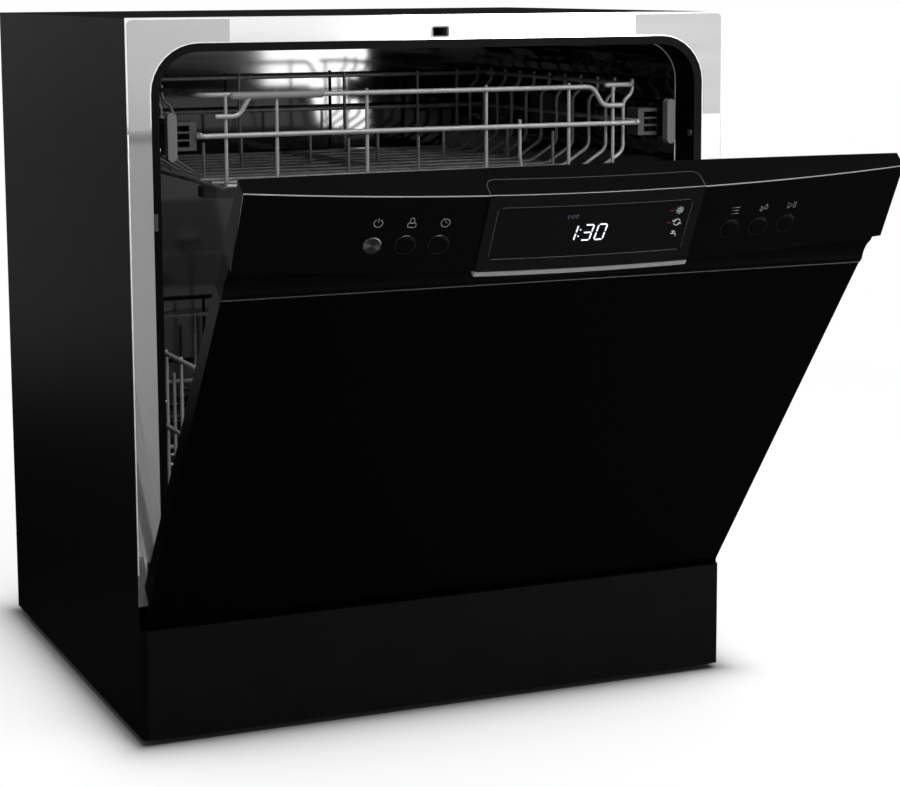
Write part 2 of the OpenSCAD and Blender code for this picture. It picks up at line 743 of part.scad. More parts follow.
// Water way under the upper rack, with the shaft that its spray arm hangs on
module upper_manifold() {
    y1 = rack_y1 - 6;
    z = upper_floor - 8;
    color("#dcdcda") union() {
        block([-12, 12], [tub_mid_y - 14, y1], [z - 4, upper_floor - 1.8 - wire_d / 2]);
        bar_z(0, tub_mid_y, upper_arm_z - 10, z - 3, arm_shaft_r);
        bar_z(0, tub_mid_y, upper_arm_z - 14, upper_arm_z - 8, arm_shaft_r + 5);
        block([-12, 12], [y1 - 12, y1], [upper_arm_z - 10, z]);
    }
}

// ---------- door ----------

module door_panel() {
    notch = hinge_rise + 15;
    z1 = door_z + panel_h;
    color("#050505") on_door() {
        block([-door_x, door_x], [face_y, face_y + sheet], [door_z, z1]);
        block([-flange_x + 1, flange_x - 1], [face_y, face_y + 8], [door_z, door_z + sheet]);
        block([-door_x, door_x], [face_y, face_y + 10], [z1 - sheet, z1]);
        both_sides() block([door_x - sheet, door_x], [face_y, door_back], [door_z + notch, z1]);
    }
}

module door_liner() {
    z0 = hinge_z - 10;
    z1 = fascia_z0 + 50;
    color("#b9bcbf") on_door() difference() {
        union() {
            block([-flange_x, flange_x], [door_back - 2, door_back - 1], [z0, z1]);
            along_y(door_back - 2, pan_back)
                polygon(rounded(-pan_x, pan_x, pan_z0, pan_z1, opening_r - seal_t - 2));
            block([-flange_x, flange_x], [face_y + 9, door_back - 1], [z0, z0 + 1]);
        }
        along_y(door_back - 3, pan_back - 1)
            polygon(rounded(-pan_x + 1, pan_x - 1, pan_z0 + 1, pan_z1 - 1, opening_r - seal_t - 3));
        block([disp_x0, disp_x1], [face_y, pan_back + 1], [disp_z0, disp_z1]);
    }
}
disp_w = 196;
disp_h = 112;
disp_x0 = -disp_w / 2;
disp_x1 = disp_w / 2;
disp_z0 = hinge_z + 170;
disp_z1 = disp_z0 + disp_h;

module grip_band() {
    z0 = door_z + panel_h + fit;
    color("#0d0d0d") on_door() difference() {
        block([-door_x, door_x], [face_y - 1, door_back - 2 - fit], [z0, fascia_z0 - fit]);
        block([-door_x + 3, door_x - 3], [face_y + 2, door_back], [z0 - 1, fascia_z0 - fit - 3]);
        translate([0, face_y - 22, (z0 + fascia_z0) / 2 - 4]) rotate([0, 90, 0])
            cylinder(r = 23, h = 2 * door_x + 10, center = true, $fn = 96);
    }
}

module control_fascia() {
    p = fascia_proud;
    b = fascia_proud - fascia_lean;
    w = fascia_wall;
    deep = fascia_back - face_y + bow;
    shell = [[p, fascia_z0], [b, front_edge_z], [-deep - 1, fascia_z1], [-deep - 1, fascia_z1 - w],
             [b - w, front_edge_z - w], [p - w, fascia_z0 + w], [-6, fascia_z0 + w], [-6, fascia_z0]];
    inset = w / 2;
    color("#0a0a0a") on_door() difference() {
        union() {
            intersection() {
                bowed(shell);
                block([-fascia_x, fascia_x], [face_y - 60, fascia_back], [fascia_z0 - 1, fascia_z1 + 1]);
            }
            both_sides() along_x(fascia_x - w, fascia_x - 0.2)
                polygon([[face_y - p + inset, fascia_z0 + inset], [face_y - b + inset, front_edge_z - inset],
                         [fascia_back - 0.2, front_edge_z - inset], [fascia_back - 0.2, fascia_z0 + inset]]);
            for (x = board_posts)
                bar_y(x, face_y - front_at(x, button_z) + 1.5, board_y - 0.1, button_z, 3.5);
        }
        block([-module_w / 2, module_w / 2], [face_y - 60, face_y + 3], [fascia_z0 - 1, front_edge_z + 0.2]);
        for (x = button_places) on_front(x, button_z)
            translate([0, 0, -8]) cylinder(r = button_d / 2 + 0.2, h = 12);
    }
}
button_places = [-button_x - button_pitch, -button_x, -button_x + button_pitch,
                 button_x - button_pitch, button_x, button_x + button_pitch];
board_posts = [-button_x - button_pitch / 2, -button_x + button_pitch * 1.5,
               button_x - button_pitch * 1.5, button_x + button_pitch / 2];

module display_module() {
    p = fascia_proud + 1;
    b = p - fascia_lean;
    w = fascia_wall;
    z0 = fascia_z0 + fit;
    z1 = front_edge_z - 0.1;
    x = module_w / 2 - fit;
    color("#101010") on_door() difference() {
        intersection() {
            bowed([[p, z0], [b, z1], [b - 14, z1], [b - 14, z1 - w], [b - w, z1 - w], [p - w, z0 + w],
                   [-4, z0 + w], [-4, z0]]);
            block([-x, x], [face_y - 60, face_y + 20], [z0 - 1, z1 + 1]);
        }
        block([-window_w / 2 - 0.2, window_w / 2 + 0.2], [face_y - 60, face_y + 2],
              [window_z - 0.2, window_z + window_h + 0.2]);
    }
}
window_z = fascia_z0 + 11;

module display_window() {
    run = front_edge_z - fascia_z0;
    t0 = fascia_proud - fascia_lean * (window_z - fascia_z0) / run + 0.5;
    t1 = fascia_proud - fascia_lean * (window_z + window_h - fascia_z0) / run + 0.5;
    color("#15181c") on_door() intersection() {
        bowed([[t0, window_z], [t1, window_z + window_h], [t1 - 2, window_z + window_h],
               [t0 - 2, window_z]]);
        block([-window_w / 2, window_w / 2], [face_y - 60, face_y + 20], [window_z, window_z + window_h]);
    }
}

module grip_trim() {
    x = module_w / 2;
    color("#8f9296") on_door() intersection() {
        bowed([[fascia_proud + 1.6, fascia_z0 - 4], [fascia_proud + 1.6, fascia_z0 - fit],
               [fascia_proud - 6, fascia_z0 - fit], [fascia_proud - 6, fascia_z0 - 4]]);
        block([-x, x], [face_y - 60, face_y + 20], [fascia_z0 - 5, fascia_z0]);
    }
}

// A push button turned in one piece: cap, flange behind the panel, and stem towards its switch
module push_button(x) {
    reach = (front_at(x, button_z) + board_y - face_y) / (cos(lean_angle) * cos(asin(x / bow_r)));
    r = button_d / 2;
    stem = -reach + switch_h + button_travel + 0.8;
    back = -fascia_wall - 0.9;
    on_door() on_front(x, button_z) rotate_extrude()
        polygon([[0, stem], [2.5, stem], [2.5, back - 1.5], [r + 1.4, back - 1.5], [r + 1.4, back],
                 [r, back], [r, 0.7], [r - 0.5, 1.2], [0, 1.2]]);
}
module button_power() { color("#d9dbdd") push_button(button_places[0]); }
module button_lock() { color("#111111") push_button(button_places[1]); }
module button_delay() { color("#111111") push_button(button_places[2]); }
module button_program() { color("#111111") push_button(button_places[3]); }
module button_function() { color("#111111") push_button(button_places[4]); }
module button_start() { color("#111111") push_button(button_places[5]); }

module control_board() {
    color("#1f5a38") on_door() {
        block([-board_x, board_x], [board_y, board_y + board_t], [board_z0, board_z1]);
        for (x = button_places) {
            a = asin(x / bow_r);
            drop = (front_at(x, button_z) + board_y - face_y) * tan(lean_angle) / cos(a);
            block([x - 4 - sign(x) * 1.5, x + 4 - sign(x) * 1.5], [board_y - switch_h, board_y],
                  [button_z - drop - 4, button_z - drop + 4]);
        }
        block([-window_w / 2 + 12, window_w / 2 - 12], [board_y - 12, board_y],
              [window_z + 2, board_z1 - 1]);
    }
}

module latch_hook() {
    z0 = latch_mid - 3;
    color("#c9cbcd") on_door() {
        block([-4, 4], [door_back - 6, front_y + 6], [z0, z0 + 2]);
        block([-4, 4], [front_y + 3, front_y + 6], [z0, z0 + 3.7]);
        block([-14, 14], [door_back - 6, door_back - 2.3], [z0 - 14, z0 + 3]);
    }
}

// Detergent and rinse-aid dispenser, let into the liner's pan
module dispenser_body() {
    e = 4;
    color("#7c7f82") on_door() difference() {
        union() {
            block([disp_x0 + fit, disp_x1 - fit], [door_back - 9, pan_back + 1],
                  [disp_z0 + fit, disp_z1 - fit]);
            block([disp_x0 - e, disp_x1 + e], [pan_back + 0.1, pan_back + 2], [disp_z0 - e, disp_z1 + e]);
            for (x = [cup_l - 11, cup_rt + 6.3])
                block([x, x + 4.7], [pan_back + 1, lid_y + 2.2], [lid_z - 2.2, lid_z + 2.2]);
        }
        block([cup_l, cup_rt], [door_back - 6, pan_back + 3], [disp_z0 + 12, disp_z1 - 12]);
        bar_y(rinse_x, pan_back - 8, pan_back + 3, rinse_z, rinse_r + 0.3);
        bar_x(cup_l - 12, cup_rt + 12, lid_y, lid_z, lid_pin_r + running);
    }
}
lid_y = pan_back + 3.8;
lid_z = disp_z0 + 8.5;
lid_t = 3;
lid_pin_r = 1;
cup_l = -86;
cup_rt = 10;
rinse_x = 56;
rinse_z = disp_z0 + disp_h / 2;
rinse_r = 17;

// Lid of the detergent cup, with a barrel and two pins along its lower edge
module dispenser_lid() {
    y = [lid_y - lid_t / 2, lid_y + lid_t / 2];
    z1 = disp_z1 - 7;
    color("#9b9ea1") on_door() {
        block([cup_l - 4, cup_rt + 4], y, [lid_z, z1]);
        bar_x(cup_l - 6, cup_rt + 6, lid_y, lid_z, lid_t / 2);
        bar_x(cup_l - 11, cup_rt + 11, lid_y, lid_z, lid_pin_r);
        block([cup_l + 36, cup_rt - 36], [y[0] + lid_t / 2, y[1] + 3], [z1 - 12, z1 - 6]);
    }
}

module rinse_cap() {
    y = pan_back + 0.2;
    color("#c7c9cb") on_door() {
        bar_y(rinse_x, pan_back - 7, y + 5, rinse_z, rinse_r);
        block([rinse_x - 13, rinse_x + 13], [y + 5, y + 9], [rinse_z - 2.5, rinse_z + 2.5]);
    }
}

// ---------- racks ----------

module upper_rack() {
    x = rack_x;
    y0 = rack_y0;
    y1 = rack_y1;
    z1 = upper_top;
    zm = upper_top - 33;
    z0 = upper_floor;
    over = rim_d / 2;
    drop = 17;
    color("#b7b9bb") union() {
        // front rail, dropped near its ends, and the corner wires
        bent_wire([[-x + 14, y0, z1 - drop], [-x + 34, y0, z1 - drop], [-x + 44, y0, z1],
                   [x - 44, y0, z1], [x - 34, y0, z1 - drop], [x - 14, y0, z1 - drop]], rim_d);
        for (s = [-1, 1]) {
            bent_wire([[s * (x - 30), y0 + 3, z1 + 1], [s * x, y0 + 3, z1 + 1], [s * x, y1, z1 + 1]], rim_d);
            wire([s * x, y0 - over, zm + 1], [s * x, y1 + over, zm + 1], rim_d);
            wire([s * x, y0 - over, z0 + 1], [s * x, y1 + over, z0 + 1], rim_d);
        }
        wire([-x - over, y1, z1], [x + over, y1, z1], rim_d);
        for (y = [y0, y1]) {
            wire([-x - over, y, zm], [x + over, y, zm], rim_d);
            wire([-x - over, y, z0], [x + over, y, z0], rim_d);
        }
        // uprights
        for (u = [-x + 23, -x + 68, -55, 57, x - 115, x - 67, x - 23]) {
            wire([u, y0 + 1.4, z0 - 1], [u, y0 + 1.4, z1 - (abs(u) > x - 34 ? drop - 2 : -3)], wire_d);
            wire([u, y1 - 1.4, z0 - 1], [u, y1 - 1.4, z1 + 2], wire_d);
        }
        for (s = [-1, 1], i = [0 : 6]) {
            y = y0 + 26 + i * (y1 - y0 - 52) / 6;
            wire([s * (x - 1.4), y, z0 - 1], [s * (x - 1.4), y, z1 + 3], wire_d);
        }
        // floor grid and tines
        for (i = [1 : 11]) {
            u = -x + i * 2 * x / 12;
            wire([u, y0 - over, z0 - 1.6], [u, y1 + over, z0 - 1.6], wire_d);
        }
        for (i = [1 : 6]) {
            y = y0 + i * (y1 - y0) / 7;
            wire([-x - over, y, z0 + 1.5], [x + over, y, z0 + 1.5], wire_d);
        }
        for (row = [2, 4], i = [1 : 2 : 11]) {
            u = -x + i * 2 * x / 12;
            y = y0 + row * (y1 - y0) / 7;
            wire([u, y + 1, z0 - 1], [u, y + 1, z0 + 30], wire_d);
        }
    }
}

// Carriers on the sides of the upper rack: front guides, and plates with the rollers' axles
module roller_carriers() {
    x0 = rack_x + rim_d / 2 + 0.2;
    color("#8f9193") both_sides() {
        difference() {
            block([x0, rail_x0 - 1.5], [rack_y0 + 2, rack_y0 + 24], [roller_z - 12, roller_z + 12]);
            for (i = [0 : 2])
                block([x0 + 6, rail_x0], [rack_y0 + 1, rack_y0 + 21],
                      [roller_z - 9 + i * 6.5, roller_z - 4 + i * 6.5]);
        }
        for (y = roller_y) {
            block([x0, rack_x + 14], [y - 13, y + 13], [roller_z - 16, roller_z + 16]);
            bar_x(rack_x + 12, rail_x1 - 1.6, y, roller_z, axle_r);
            bar_x(rail_x1 - 2.2, rail_x1 - 1.3, y, roller_z, axle_r + 2);
        }
    }
}

// The two rollers on one axle line turn together
module upper_rollers(y) {
    color("#6f7173") both_sides() difference() {
        bar_x(rail_x0 + 1.5, rail_x1 - 2.5, y, roller_z, roller_r);
        bar_x(rail_x0, rail_x1, y, roller_z, axle_r + running);
    }
}
module rollers_front() { upper_rollers(roller_y[0]); }
module rollers_rear() { upper_rollers(roller_y[1]); }

module lower_rack() {
    x = lower_x;
    y0 = rack_y0;
    y1 = rack_y1;
    z1 = lower_top;
    z0 = lower_floor;
    zm = lower_floor + lower_h * 0.5;
    over = rim_d / 2;
    color("#b7b9bb") translate([0, lower_shift, 0]) union() {
        for (z = [z0, zm, z1]) {
            for (y = [y0, y1]) wire([-x - over, y, z], [x + over, y, z], rim_d);
            for (s = [-1, 1]) wire([s * x, y0 - over, z + 1], [s * x, y1 + over, z + 1], rim_d);
        }
        for (i = [1 : 8]) {
            u = -x + i * 2 * x / 9;
            wire([u, y0 + 1.4, z0 - 1], [u, y0 + 1.4, z1 + 2], wire_d);
            wire([u, y1 - 1.4, z0 - 1], [u, y1 - 1.4, z1 + 2], wire_d);
            wire([u, y0 - over, z0 - 1.6], [u, y1 + over, z0 - 1.6], wire_d);
        }
        for (i = [1 : 7]) {
            y = y0 + i * (y1 - y0) / 8;
            wire([-x - over, y, z0 + 1.5], [x + over, y, z0 + 1.5], wire_d);
            for (s = [-1, 1]) wire([s * (x - 1.4), y, z0 - 1], [s * (x - 1.4), y, z1 + 3], wire_d);
        }
        for (row = [2, 4, 6], i = [1 : 6]) {
            u = -x + i * 2 * x / 9;
            y = y0 + row * (y1 - y0) / 8;
            wire([u, y + 1, z0 - 1], [u, y + 1, z0 + 88], wire_d);
        }
    }
}

// Clips under the lower rack's side wires, with the axles that its wheels turn on
module wheel_axles() {
    x = lower_x;
    under = lower_floor + 1 - rim_d / 2 - fit;
    side = rim_d / 2 + fit;
    color("#a4a6a8") translate([0, lower_shift, 0]) both_sides() for (y = wheel_y) {
        block([x - 2.4, x - 0.4], [y - 9, y + 9], [wheel_z - 6, under]);
        block([x - side - 2, x + side + 2], [y - 9, y + 9], [under - 2, under]);
        block([x - side - 2, x - side], [y - 9, y + 9], [under - 1, under + 5]);
        block([x + side, x + side + 2], [y - 9, y + 9], [under - 1, under + 5]);
        bar_x(wheel_x - 1.6, x - 1.4, y, wheel_z, axle_r);
        bar_x(wheel_x - 2.6, wheel_x - 1.4, y, wheel_z, axle_r + 2);
    }
}
axle_r = 4;
wheel_x = lower_x - 12;

// The two wheels on one axle line turn together
module lower_wheels(y) {
    color("#8f9193") translate([0, lower_shift, 0]) both_sides() difference() {
        union() {
            bar_x(wheel_x, wheel_x + 8, y, wheel_z, wheel_d / 2);
            bar_x(wheel_x - 1, wheel_x + 9.3, y, wheel_z, axle_r + 3);
        }
        bar_x(wheel_x - 2, wheel_x + 11, y, wheel_z, axle_r + running);
    }
}
module wheels_front() { lower_wheels(wheel_y[0]); }
module wheels_rear() { lower_wheels(wheel_y[1]); }

cutlery_w = 108;
cutlery_gap = 14;
module cutlery_basket() {
    x = [lower_x - cutlery_gap - cutlery_w, lower_x - cutlery_gap];
    y = [rack_y0 + (rack_y1 - rack_y0) * 0.26, rack_y0 + (rack_y1 - rack_y0) * 0.84];
    z = [lower_floor + 1.5 + wire_d / 2 + fit, lower_floor + lower_h - 6];
    w = 2;
    n = [2, 4];
    color("#9c9ea0") translate([0, lower_shift, 0]) difference() {
        block(x, y, z);
        for (i = [0 : n[0] - 1], j = [0 : n[1] - 1]) {
            cx = (x[1] - x[0] - w) / n[0];
            cy = (y[1] - y[0] - w) / n[1];
            block([x[0] + w + i * cx, x[0] + (i + 1) * cx], [y[0] + w + j * cy, y[0] + (j + 1) * cy],
                  [z[0] + w, z[1] + 1]);
        }
    }
}

outer_wrap();
rear_panel();
base_pan();
plinth();
feet();
front_frame();
tub();
door_seal();
latch_housing();
hinge_brackets();
door_springs();
side_rails();
rail_end_caps();
seal_clips();
frame_screws();
sump();
filter_cup();
filter_plate();
circulation_pump();
circulation_rotor();
drain_pump();
drain_rotor();
water_heater();
water_softener();
salt_cap();
inlet_valve();
drain_spigot();
cable_gland();
feed_pipe();
lower_spray_arm();
door_panel();
door_liner();
grip_band();
control_fascia();
display_module();
display_window();
grip_trim();
button_power();
button_lock();
button_delay();
button_program();
button_function();
button_start();
control_board();
hinge_arms();
dispenser_body();
dispenser_lid();
rinse_cap();
latch_hook();
upper_rack();
roller_carriers();
rollers_front();
rollers_rear();
upper_spray_arm();
upper_manifold();
lower_rack();
wheel_axles();
wheels_front();
wheels_rear();
cutlery_basket();
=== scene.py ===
"""Looks of a countertop dishwasher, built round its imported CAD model. Metres, +Z up, the door towards -Y."""

import json
import math

import bmesh
import bpy
from mathutils import Matrix, Vector


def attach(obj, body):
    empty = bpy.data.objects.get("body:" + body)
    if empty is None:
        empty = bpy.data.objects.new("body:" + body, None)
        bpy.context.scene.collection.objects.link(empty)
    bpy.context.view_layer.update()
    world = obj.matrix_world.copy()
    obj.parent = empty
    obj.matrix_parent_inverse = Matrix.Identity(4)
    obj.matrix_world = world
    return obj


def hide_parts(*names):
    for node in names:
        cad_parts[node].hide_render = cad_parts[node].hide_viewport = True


MM = 0.001

# ---------- places taken from the CAD model, in millimetres ----------

# The cabinet, the face of its frame, and the opening with its rounded corners
HALF_W = 275
CABINET_TOP = 606
FRONT_Y = -230
OPEN_X = 254.5
OPEN_TOP = 585
OPEN_R = 41
# The door as it is when closed: its hinge, its face, and its control panel, which leans and is bowed
HINGE = Vector((0, -220, 133))
REST_DEGREES = 37
FACE_Y = -248
FASCIA_Z0 = 532
FASCIA_EDGE_Z = 597
FASCIA_PROUD = 8
FASCIA_LEAN = 11
BOW = 15
BOW_R = (273 ** 2 + BOW ** 2) / (2 * BOW)
BUTTON_Z = 556
BUTTON_X = 147
BUTTON_PITCH = 25.6
BUTTON_R = 7
BUTTONS_LEFT = [-BUTTON_X + i * BUTTON_PITCH for i in (-1, 0, 1)]
BUTTONS_RIGHT = [BUTTON_X + i * BUTTON_PITCH for i in (-1, 0, 1)]

# The racks, inside the cabinet
RIM_R = 2.2
WIRE_R = 1.6
RACK_Y0 = -200
RACK_Y1 = 155
UPPER_X = 204.5
UPPER_TOP = 540
UPPER_FLOOR = 464
LOWER_X = 212.5
LOWER_TOP = 311
LOWER_FLOOR = 181
# The lower rack comes 100 mm out while the door opens by 90 degrees
LOWER_SHIFT = -100 * REST_DEGREES / 90

# ---------- camera, fitted to the corners of the cabinet, the door and the panel ----------

PHOTO_W, PHOTO_H = 900, 787
CAMERA_AT = (-0.7692, -2.0366, 0.6341)
CAMERA_YAW = math.radians(23.272)
CAMERA_PITCH = math.radians(-7.982)
CAMERA_ROLL = math.radians(-0.297)
FOCAL_PX = 2296.9
AXIS_PX = (450, 303)
SENSOR = 36

# ---------- floor and room, in metres ----------

# The shadow: where it begins, how far it reaches, and by what share it reaches less far on the left
CONTACT = 0.006
FLOOR_SHADOW = 0.055
LEFT_NARROWER = 0.5
# The floor's own brightness, and how white the camera sees it outside the shadow
FLOOR_MATTE = 0.93
FLOOR_WHITE = 0.85
# A painted shadow in the floor's colour where the cabinet stands: how far it reaches, and how deep it is
PAINTED_SHADOW_REACH = 0.035
PAINTED_SHADOW_DEPTH = 0.72
# From where to where the floor turns white for the camera whatever the shadow
FLOOR_AWAY = (0.5, 1.5)
# What mirrors see of the floor: dark up to some distance, dim behind the cabinet, dark on the left in front
MIRROR_AWAY, MIRROR_NEAREST = (0.9, 2.3), 0.04
MIRROR_DEPTH, FLOOR_BEHIND = (-0.6, 0.4), 0.13
MIRROR_SIDE = (-0.5, 0.3)
MIRROR_FRONT = (-0.3, 0.1)
# What mirrors see of the room, by direction: from the horizon up, from front to back, from left to right
ROOM_HEIGHT = (0.12, 0.5)
ROOM_DEPTH = (-0.3, 0.5)
ROOM_BACK = (0, 0.5)
ROOM_SIDE = (-0.2, 0.2)
# How bright the left is beside the right, in front of the cabinet and behind it
FRONT_LEFT = 0.012
BACK_LEFT = 6


# ---------- node trees ----------

def feed(tree, socket, value):
    """Sets a socket to a number, or joins it to another node's outcome."""
    if isinstance(value, (int, float)):
        socket.default_value = value
    else:
        tree.links.new(value, socket)


def math_node(tree, operation, *values):
    """The outcome of one sum."""
    node = tree.nodes.new("ShaderNodeMath")
    node.operation = operation
    for socket, value in zip(node.inputs, values):
        feed(tree, socket, value)
    return node.outputs["Value"]


def ramp(tree, value, source, target=(0, 1), smooth=False):
    """A value carried over from one range to another, and kept inside it."""
    node = tree.nodes.new("ShaderNodeMapRange")
    if smooth:
        node.interpolation_type = "SMOOTHSTEP"
    ends = zip(("From Min", "From Max", "To Min", "To Max"), (*source, *target))
    for end, limit in ends:
        feed(tree, node.inputs[end], limit)
    feed(tree, node.inputs["Value"], value)
    return node.outputs["Result"]


def mix_shaders(tree, share, first, second):
    """The first shader where the share is 0, and the second where it is 1."""
    node = tree.nodes.new("ShaderNodeMixShader")
    for socket, value in zip(node.inputs, (share, first, second)):
        tree.links.new(value, socket)
    return node.outputs["Shader"]


def ray_kinds(tree):
    """Whether a ray comes from the camera, and whether it comes from a mirror or through glass."""
    path = tree.nodes.new("ShaderNodeLightPath")
    mirror = math_node(tree, "MAXIMUM", path.outputs["Is Glossy Ray"], path.outputs["Is Transmission Ray"])
    return path.outputs["Is Camera Ray"], mirror


# ---------- materials ----------

# The least roughness, the part of the noise that the roughness follows, and the grain's depth in metres
SMOOTHEST = 0.02
PATCH_RANGE = (0.3, 0.7)
GRAIN_DEPTH = 0.0004


def linear(srgb):
    """One 0-255 display value as a linear one."""
    c = srgb / 255
    return c / 12.92 if c <= 0.04045 else ((c + 0.055) / 1.055) ** 2.4


def grey(level, tint=(1, 1, 1)):
    """A linear colour from a 0-255 display grey and a tint."""
    return tuple(linear(level) * t for t in tint)


def surface(name, color, rough, metallic=0.0, specular=0.5, vary=0.05, patch=30,
            stretch=(1, 1, 1), rough_vary=0.05, bump=0.0, bump_scale=900):
    """A procedural finish: patches vary its colour and roughness, and a finer noise gives its grain."""
    material = bpy.data.materials.new(name)
    material.use_nodes = True
    tree = material.node_tree
    nodes, links = tree.nodes, tree.links
    shader = nodes["Principled BSDF"]
    shader.inputs["Metallic"].default_value = metallic
    shader.inputs["Specular IOR Level"].default_value = specular
    place = nodes.new("ShaderNodeTexCoord")
    mapping = nodes.new("ShaderNodeMapping")
    mapping.inputs["Scale"].default_value = stretch
    links.new(place.outputs["Object"], mapping.inputs["Vector"])
    patches = nodes.new("ShaderNodeTexNoise")
    patches.inputs["Scale"].default_value = patch
    patches.inputs["Detail"].default_value = 4
    links.new(mapping.outputs["Vector"], patches.inputs["Vector"])
    tone = nodes.new("ShaderNodeMix")
    tone.data_type = "RGBA"
    tone.inputs["A"].default_value = (*(c * (1 - vary) for c in color), 1)
    tone.inputs["B"].default_value = (*(c * (1 + vary) for c in color), 1)
    links.new(patches.outputs["Fac"], tone.inputs["Factor"])
    links.new(tone.outputs["Result"], shader.inputs["Base Color"])
    rough_range = max(SMOOTHEST, rough - rough_vary), rough + rough_vary
    links.new(ramp(tree, patches.outputs["Fac"], PATCH_RANGE, rough_range), shader.inputs["Roughness"])
    if bump:
        grain = nodes.new("ShaderNodeTexNoise")
        grain.inputs["Scale"].default_value = bump_scale
        grain.inputs["Detail"].default_value = 3
        links.new(mapping.outputs["Vector"], grain.inputs["Vector"])
        relief = nodes.new("ShaderNodeBump")
        relief.inputs["Strength"].default_value = bump
        relief.inputs["Distance"].default_value = GRAIN_DEPTH
        links.new(grain.outputs["Fac"], relief.inputs["Height"])
        links.new(relief.outputs["Normal"], shader.inputs["Normal"])
    return material


def spun(name, color, rough, centre, axis):
    """A disc turned on a lathe, whose fine rings round its centre draw the light out into rays."""
    material = surface(name, color, rough, metallic=1, patch=300)
    nodes, links = material.node_tree.nodes, material.node_tree.links
    shader = nodes["Principled BSDF"]
    shader.inputs["Anisotropic"].default_value = 0.85
    place = nodes.new("ShaderNodeTexCoord")
    offset = nodes.new("ShaderNodeVectorMath")
    offset.operation = "SUBTRACT"
    offset.inputs[1].default_value = centre
    links.new(place.outputs["Object"], offset.inputs[0])
    round_it = nodes.new("ShaderNodeVectorMath")
    round_it.operation = "CROSS_PRODUCT"
    round_it.inputs[1].default_value = axis
    links.new(offset.outputs["Vector"], round_it.inputs[0])
    links.new(round_it.outputs["Vector"], shader.inputs["Tangent"])
    return material


def glowing(name, color, strength):
    """A lit segment of the display."""
    material = surface(name, color, 0.4, vary=0.02)
    shader = material.node_tree.nodes["Principled BSDF"]
    shader.inputs["Emission Color"].default_value = (*color, 1)
    shader.inputs["Emission Strength"].default_value = strength
    return material


# Stretches the patches along the width, as brushing does
ALONG_X = (0.02, 1, 1)

# By the material slots of the record
FINISH = {
    "black_enamel": surface("black_enamel", grey(9), 0.32, specular=0.09, rough_vary=0.01),
    "door_enamel": surface("door_enamel", grey(2), 0.14, specular=0.2, vary=0.08, rough_vary=0.02),
    "back_steel": surface("back_steel", grey(34), 0.5, specular=0.4, vary=0.08, bump=0.08, bump_scale=500),
    "silver_frame": surface("silver_frame", grey(242), 0.1, metallic=0.9, vary=0.005, patch=60,
                            stretch=ALONG_X, rough_vary=0.02),
    "stainless": surface("stainless", grey(112), 0.06, metallic=1, vary=0.2, patch=2.6,
                         stretch=(0.5, 1, 9), rough_vary=0.02),
    "bracket_steel": surface("bracket_steel", grey(176), 0.35, metallic=1, vary=0.08, bump=0.05),
    "spring_steel": surface("spring_steel", grey(150), 0.32, metallic=1, vary=0.1),
    "base_plastic": surface("base_plastic", grey(5), 0.45, specular=0.15, vary=0.08, bump=0.25,
                            bump_scale=1400),
    "panel_plastic": surface("panel_plastic", grey(5), 0.22, specular=0.24, vary=0.06, rough_vary=0.02),
    "display_glass": surface("display_glass", grey(9, (1, 1.02, 1.06)), 0.06, rough_vary=0.01),
    "seal_rubber": surface("seal_rubber", grey(3), 0.45, specular=0.1, vary=0.1, bump=0.1, bump_scale=1200),
    "grey_plastic": surface("grey_plastic", grey(112), 0.45, vary=0.06, bump=0.12, bump_scale=1300),
    "dark_grey_plastic": surface("dark_grey_plastic", grey(92), 0.42, vary=0.06, bump=0.12, bump_scale=1300),
    "white_plastic": surface("white_plastic", grey(214, (1, 1, 0.98)), 0.4, vary=0.03, bump=0.08),
    "trim_silver": surface("trim_silver", grey(150), 0.3, metallic=0.4, vary=0.04, patch=60, stretch=ALONG_X),
    "rack_wire": surface("rack_wire", grey(150), 0.28, metallic=0.3, vary=0.06),
    "board_green": surface("board_green", (0.006, 0.02, 0.011), 0.45, specular=0.2, vary=0.15, patch=200),
    "blue_plastic": surface("blue_plastic", (0.04, 0.1, 0.2), 0.45, vary=0.06),
}
# For single nodes, and for the pieces that only the scene has
LINER = surface("liner_steel", grey(190), 0.34, metallic=0.6, vary=0.03, patch=5, rough_vary=0.02)
CORNER_SATIN = surface("corner_satin", grey(176), 0.42, metallic=0.5, vary=0.03, patch=80,
                       stretch=ALONG_X, bump=0.05)
PRINT_WHITE = surface("print_white", grey(120), 0.5, vary=0.04, patch=400)
# a grey for thin lines that paint highlights along joints and edges of the panel and door
EDGE_LINE_HIGHLIGHT = surface("painted_joint_highlight", grey(72), 0.3, patch=200)
# a light grey for thin lines that paint highlights along the panel's edges
EDGE_HIGHLIGHT_GREY = surface("painted_edge_highlight", grey(124), 0.3, vary=0.1, patch=6)
RING_BLACK = surface("ring_black", grey(26), 0.25, patch=200)
CARRIER = surface("carrier_plastic", grey(52), 0.45, vary=0.06, bump=0.12, bump_scale=1300)
# near white, for thin lines that paint highlights on folds and lips
NEAR_WHITE_HIGHLIGHT = surface("painted_fold_highlight", grey(245), 0.35, metallic=0.4)
MODULE = surface("module_plastic", grey(13), 0.25, specular=0.4, vary=0.06, rough_vary=0.02)
CAP = surface("cap_plastic", grey(90), 0.5, vary=0.06, patch=120, stretch=(8, 1, 0.2), bump=0.2,
              bump_scale=700)
SLEEVE = surface("rail_sleeve", grey(118), 0.45, vary=0.06, bump=0.15, bump_scale=1300)
DIGIT_LIT = glowing("digit_lit", (0.86, 0.92, 1.0), 0.9)
DIGIT_DIM = glowing("digit_dim", (0.05, 0.055, 0.08), 0.6)
ICON_DIM = glowing("icon_dim", (0.3, 0.31, 0.33), 0.8)
ICON_RED = glowing("icon_red", (0.12, 0.008, 0.012), 0.5)


# ---------- building pieces ----------

# Edges that turn by more than this are shaded as sharp ones
SHARP = math.radians(40)
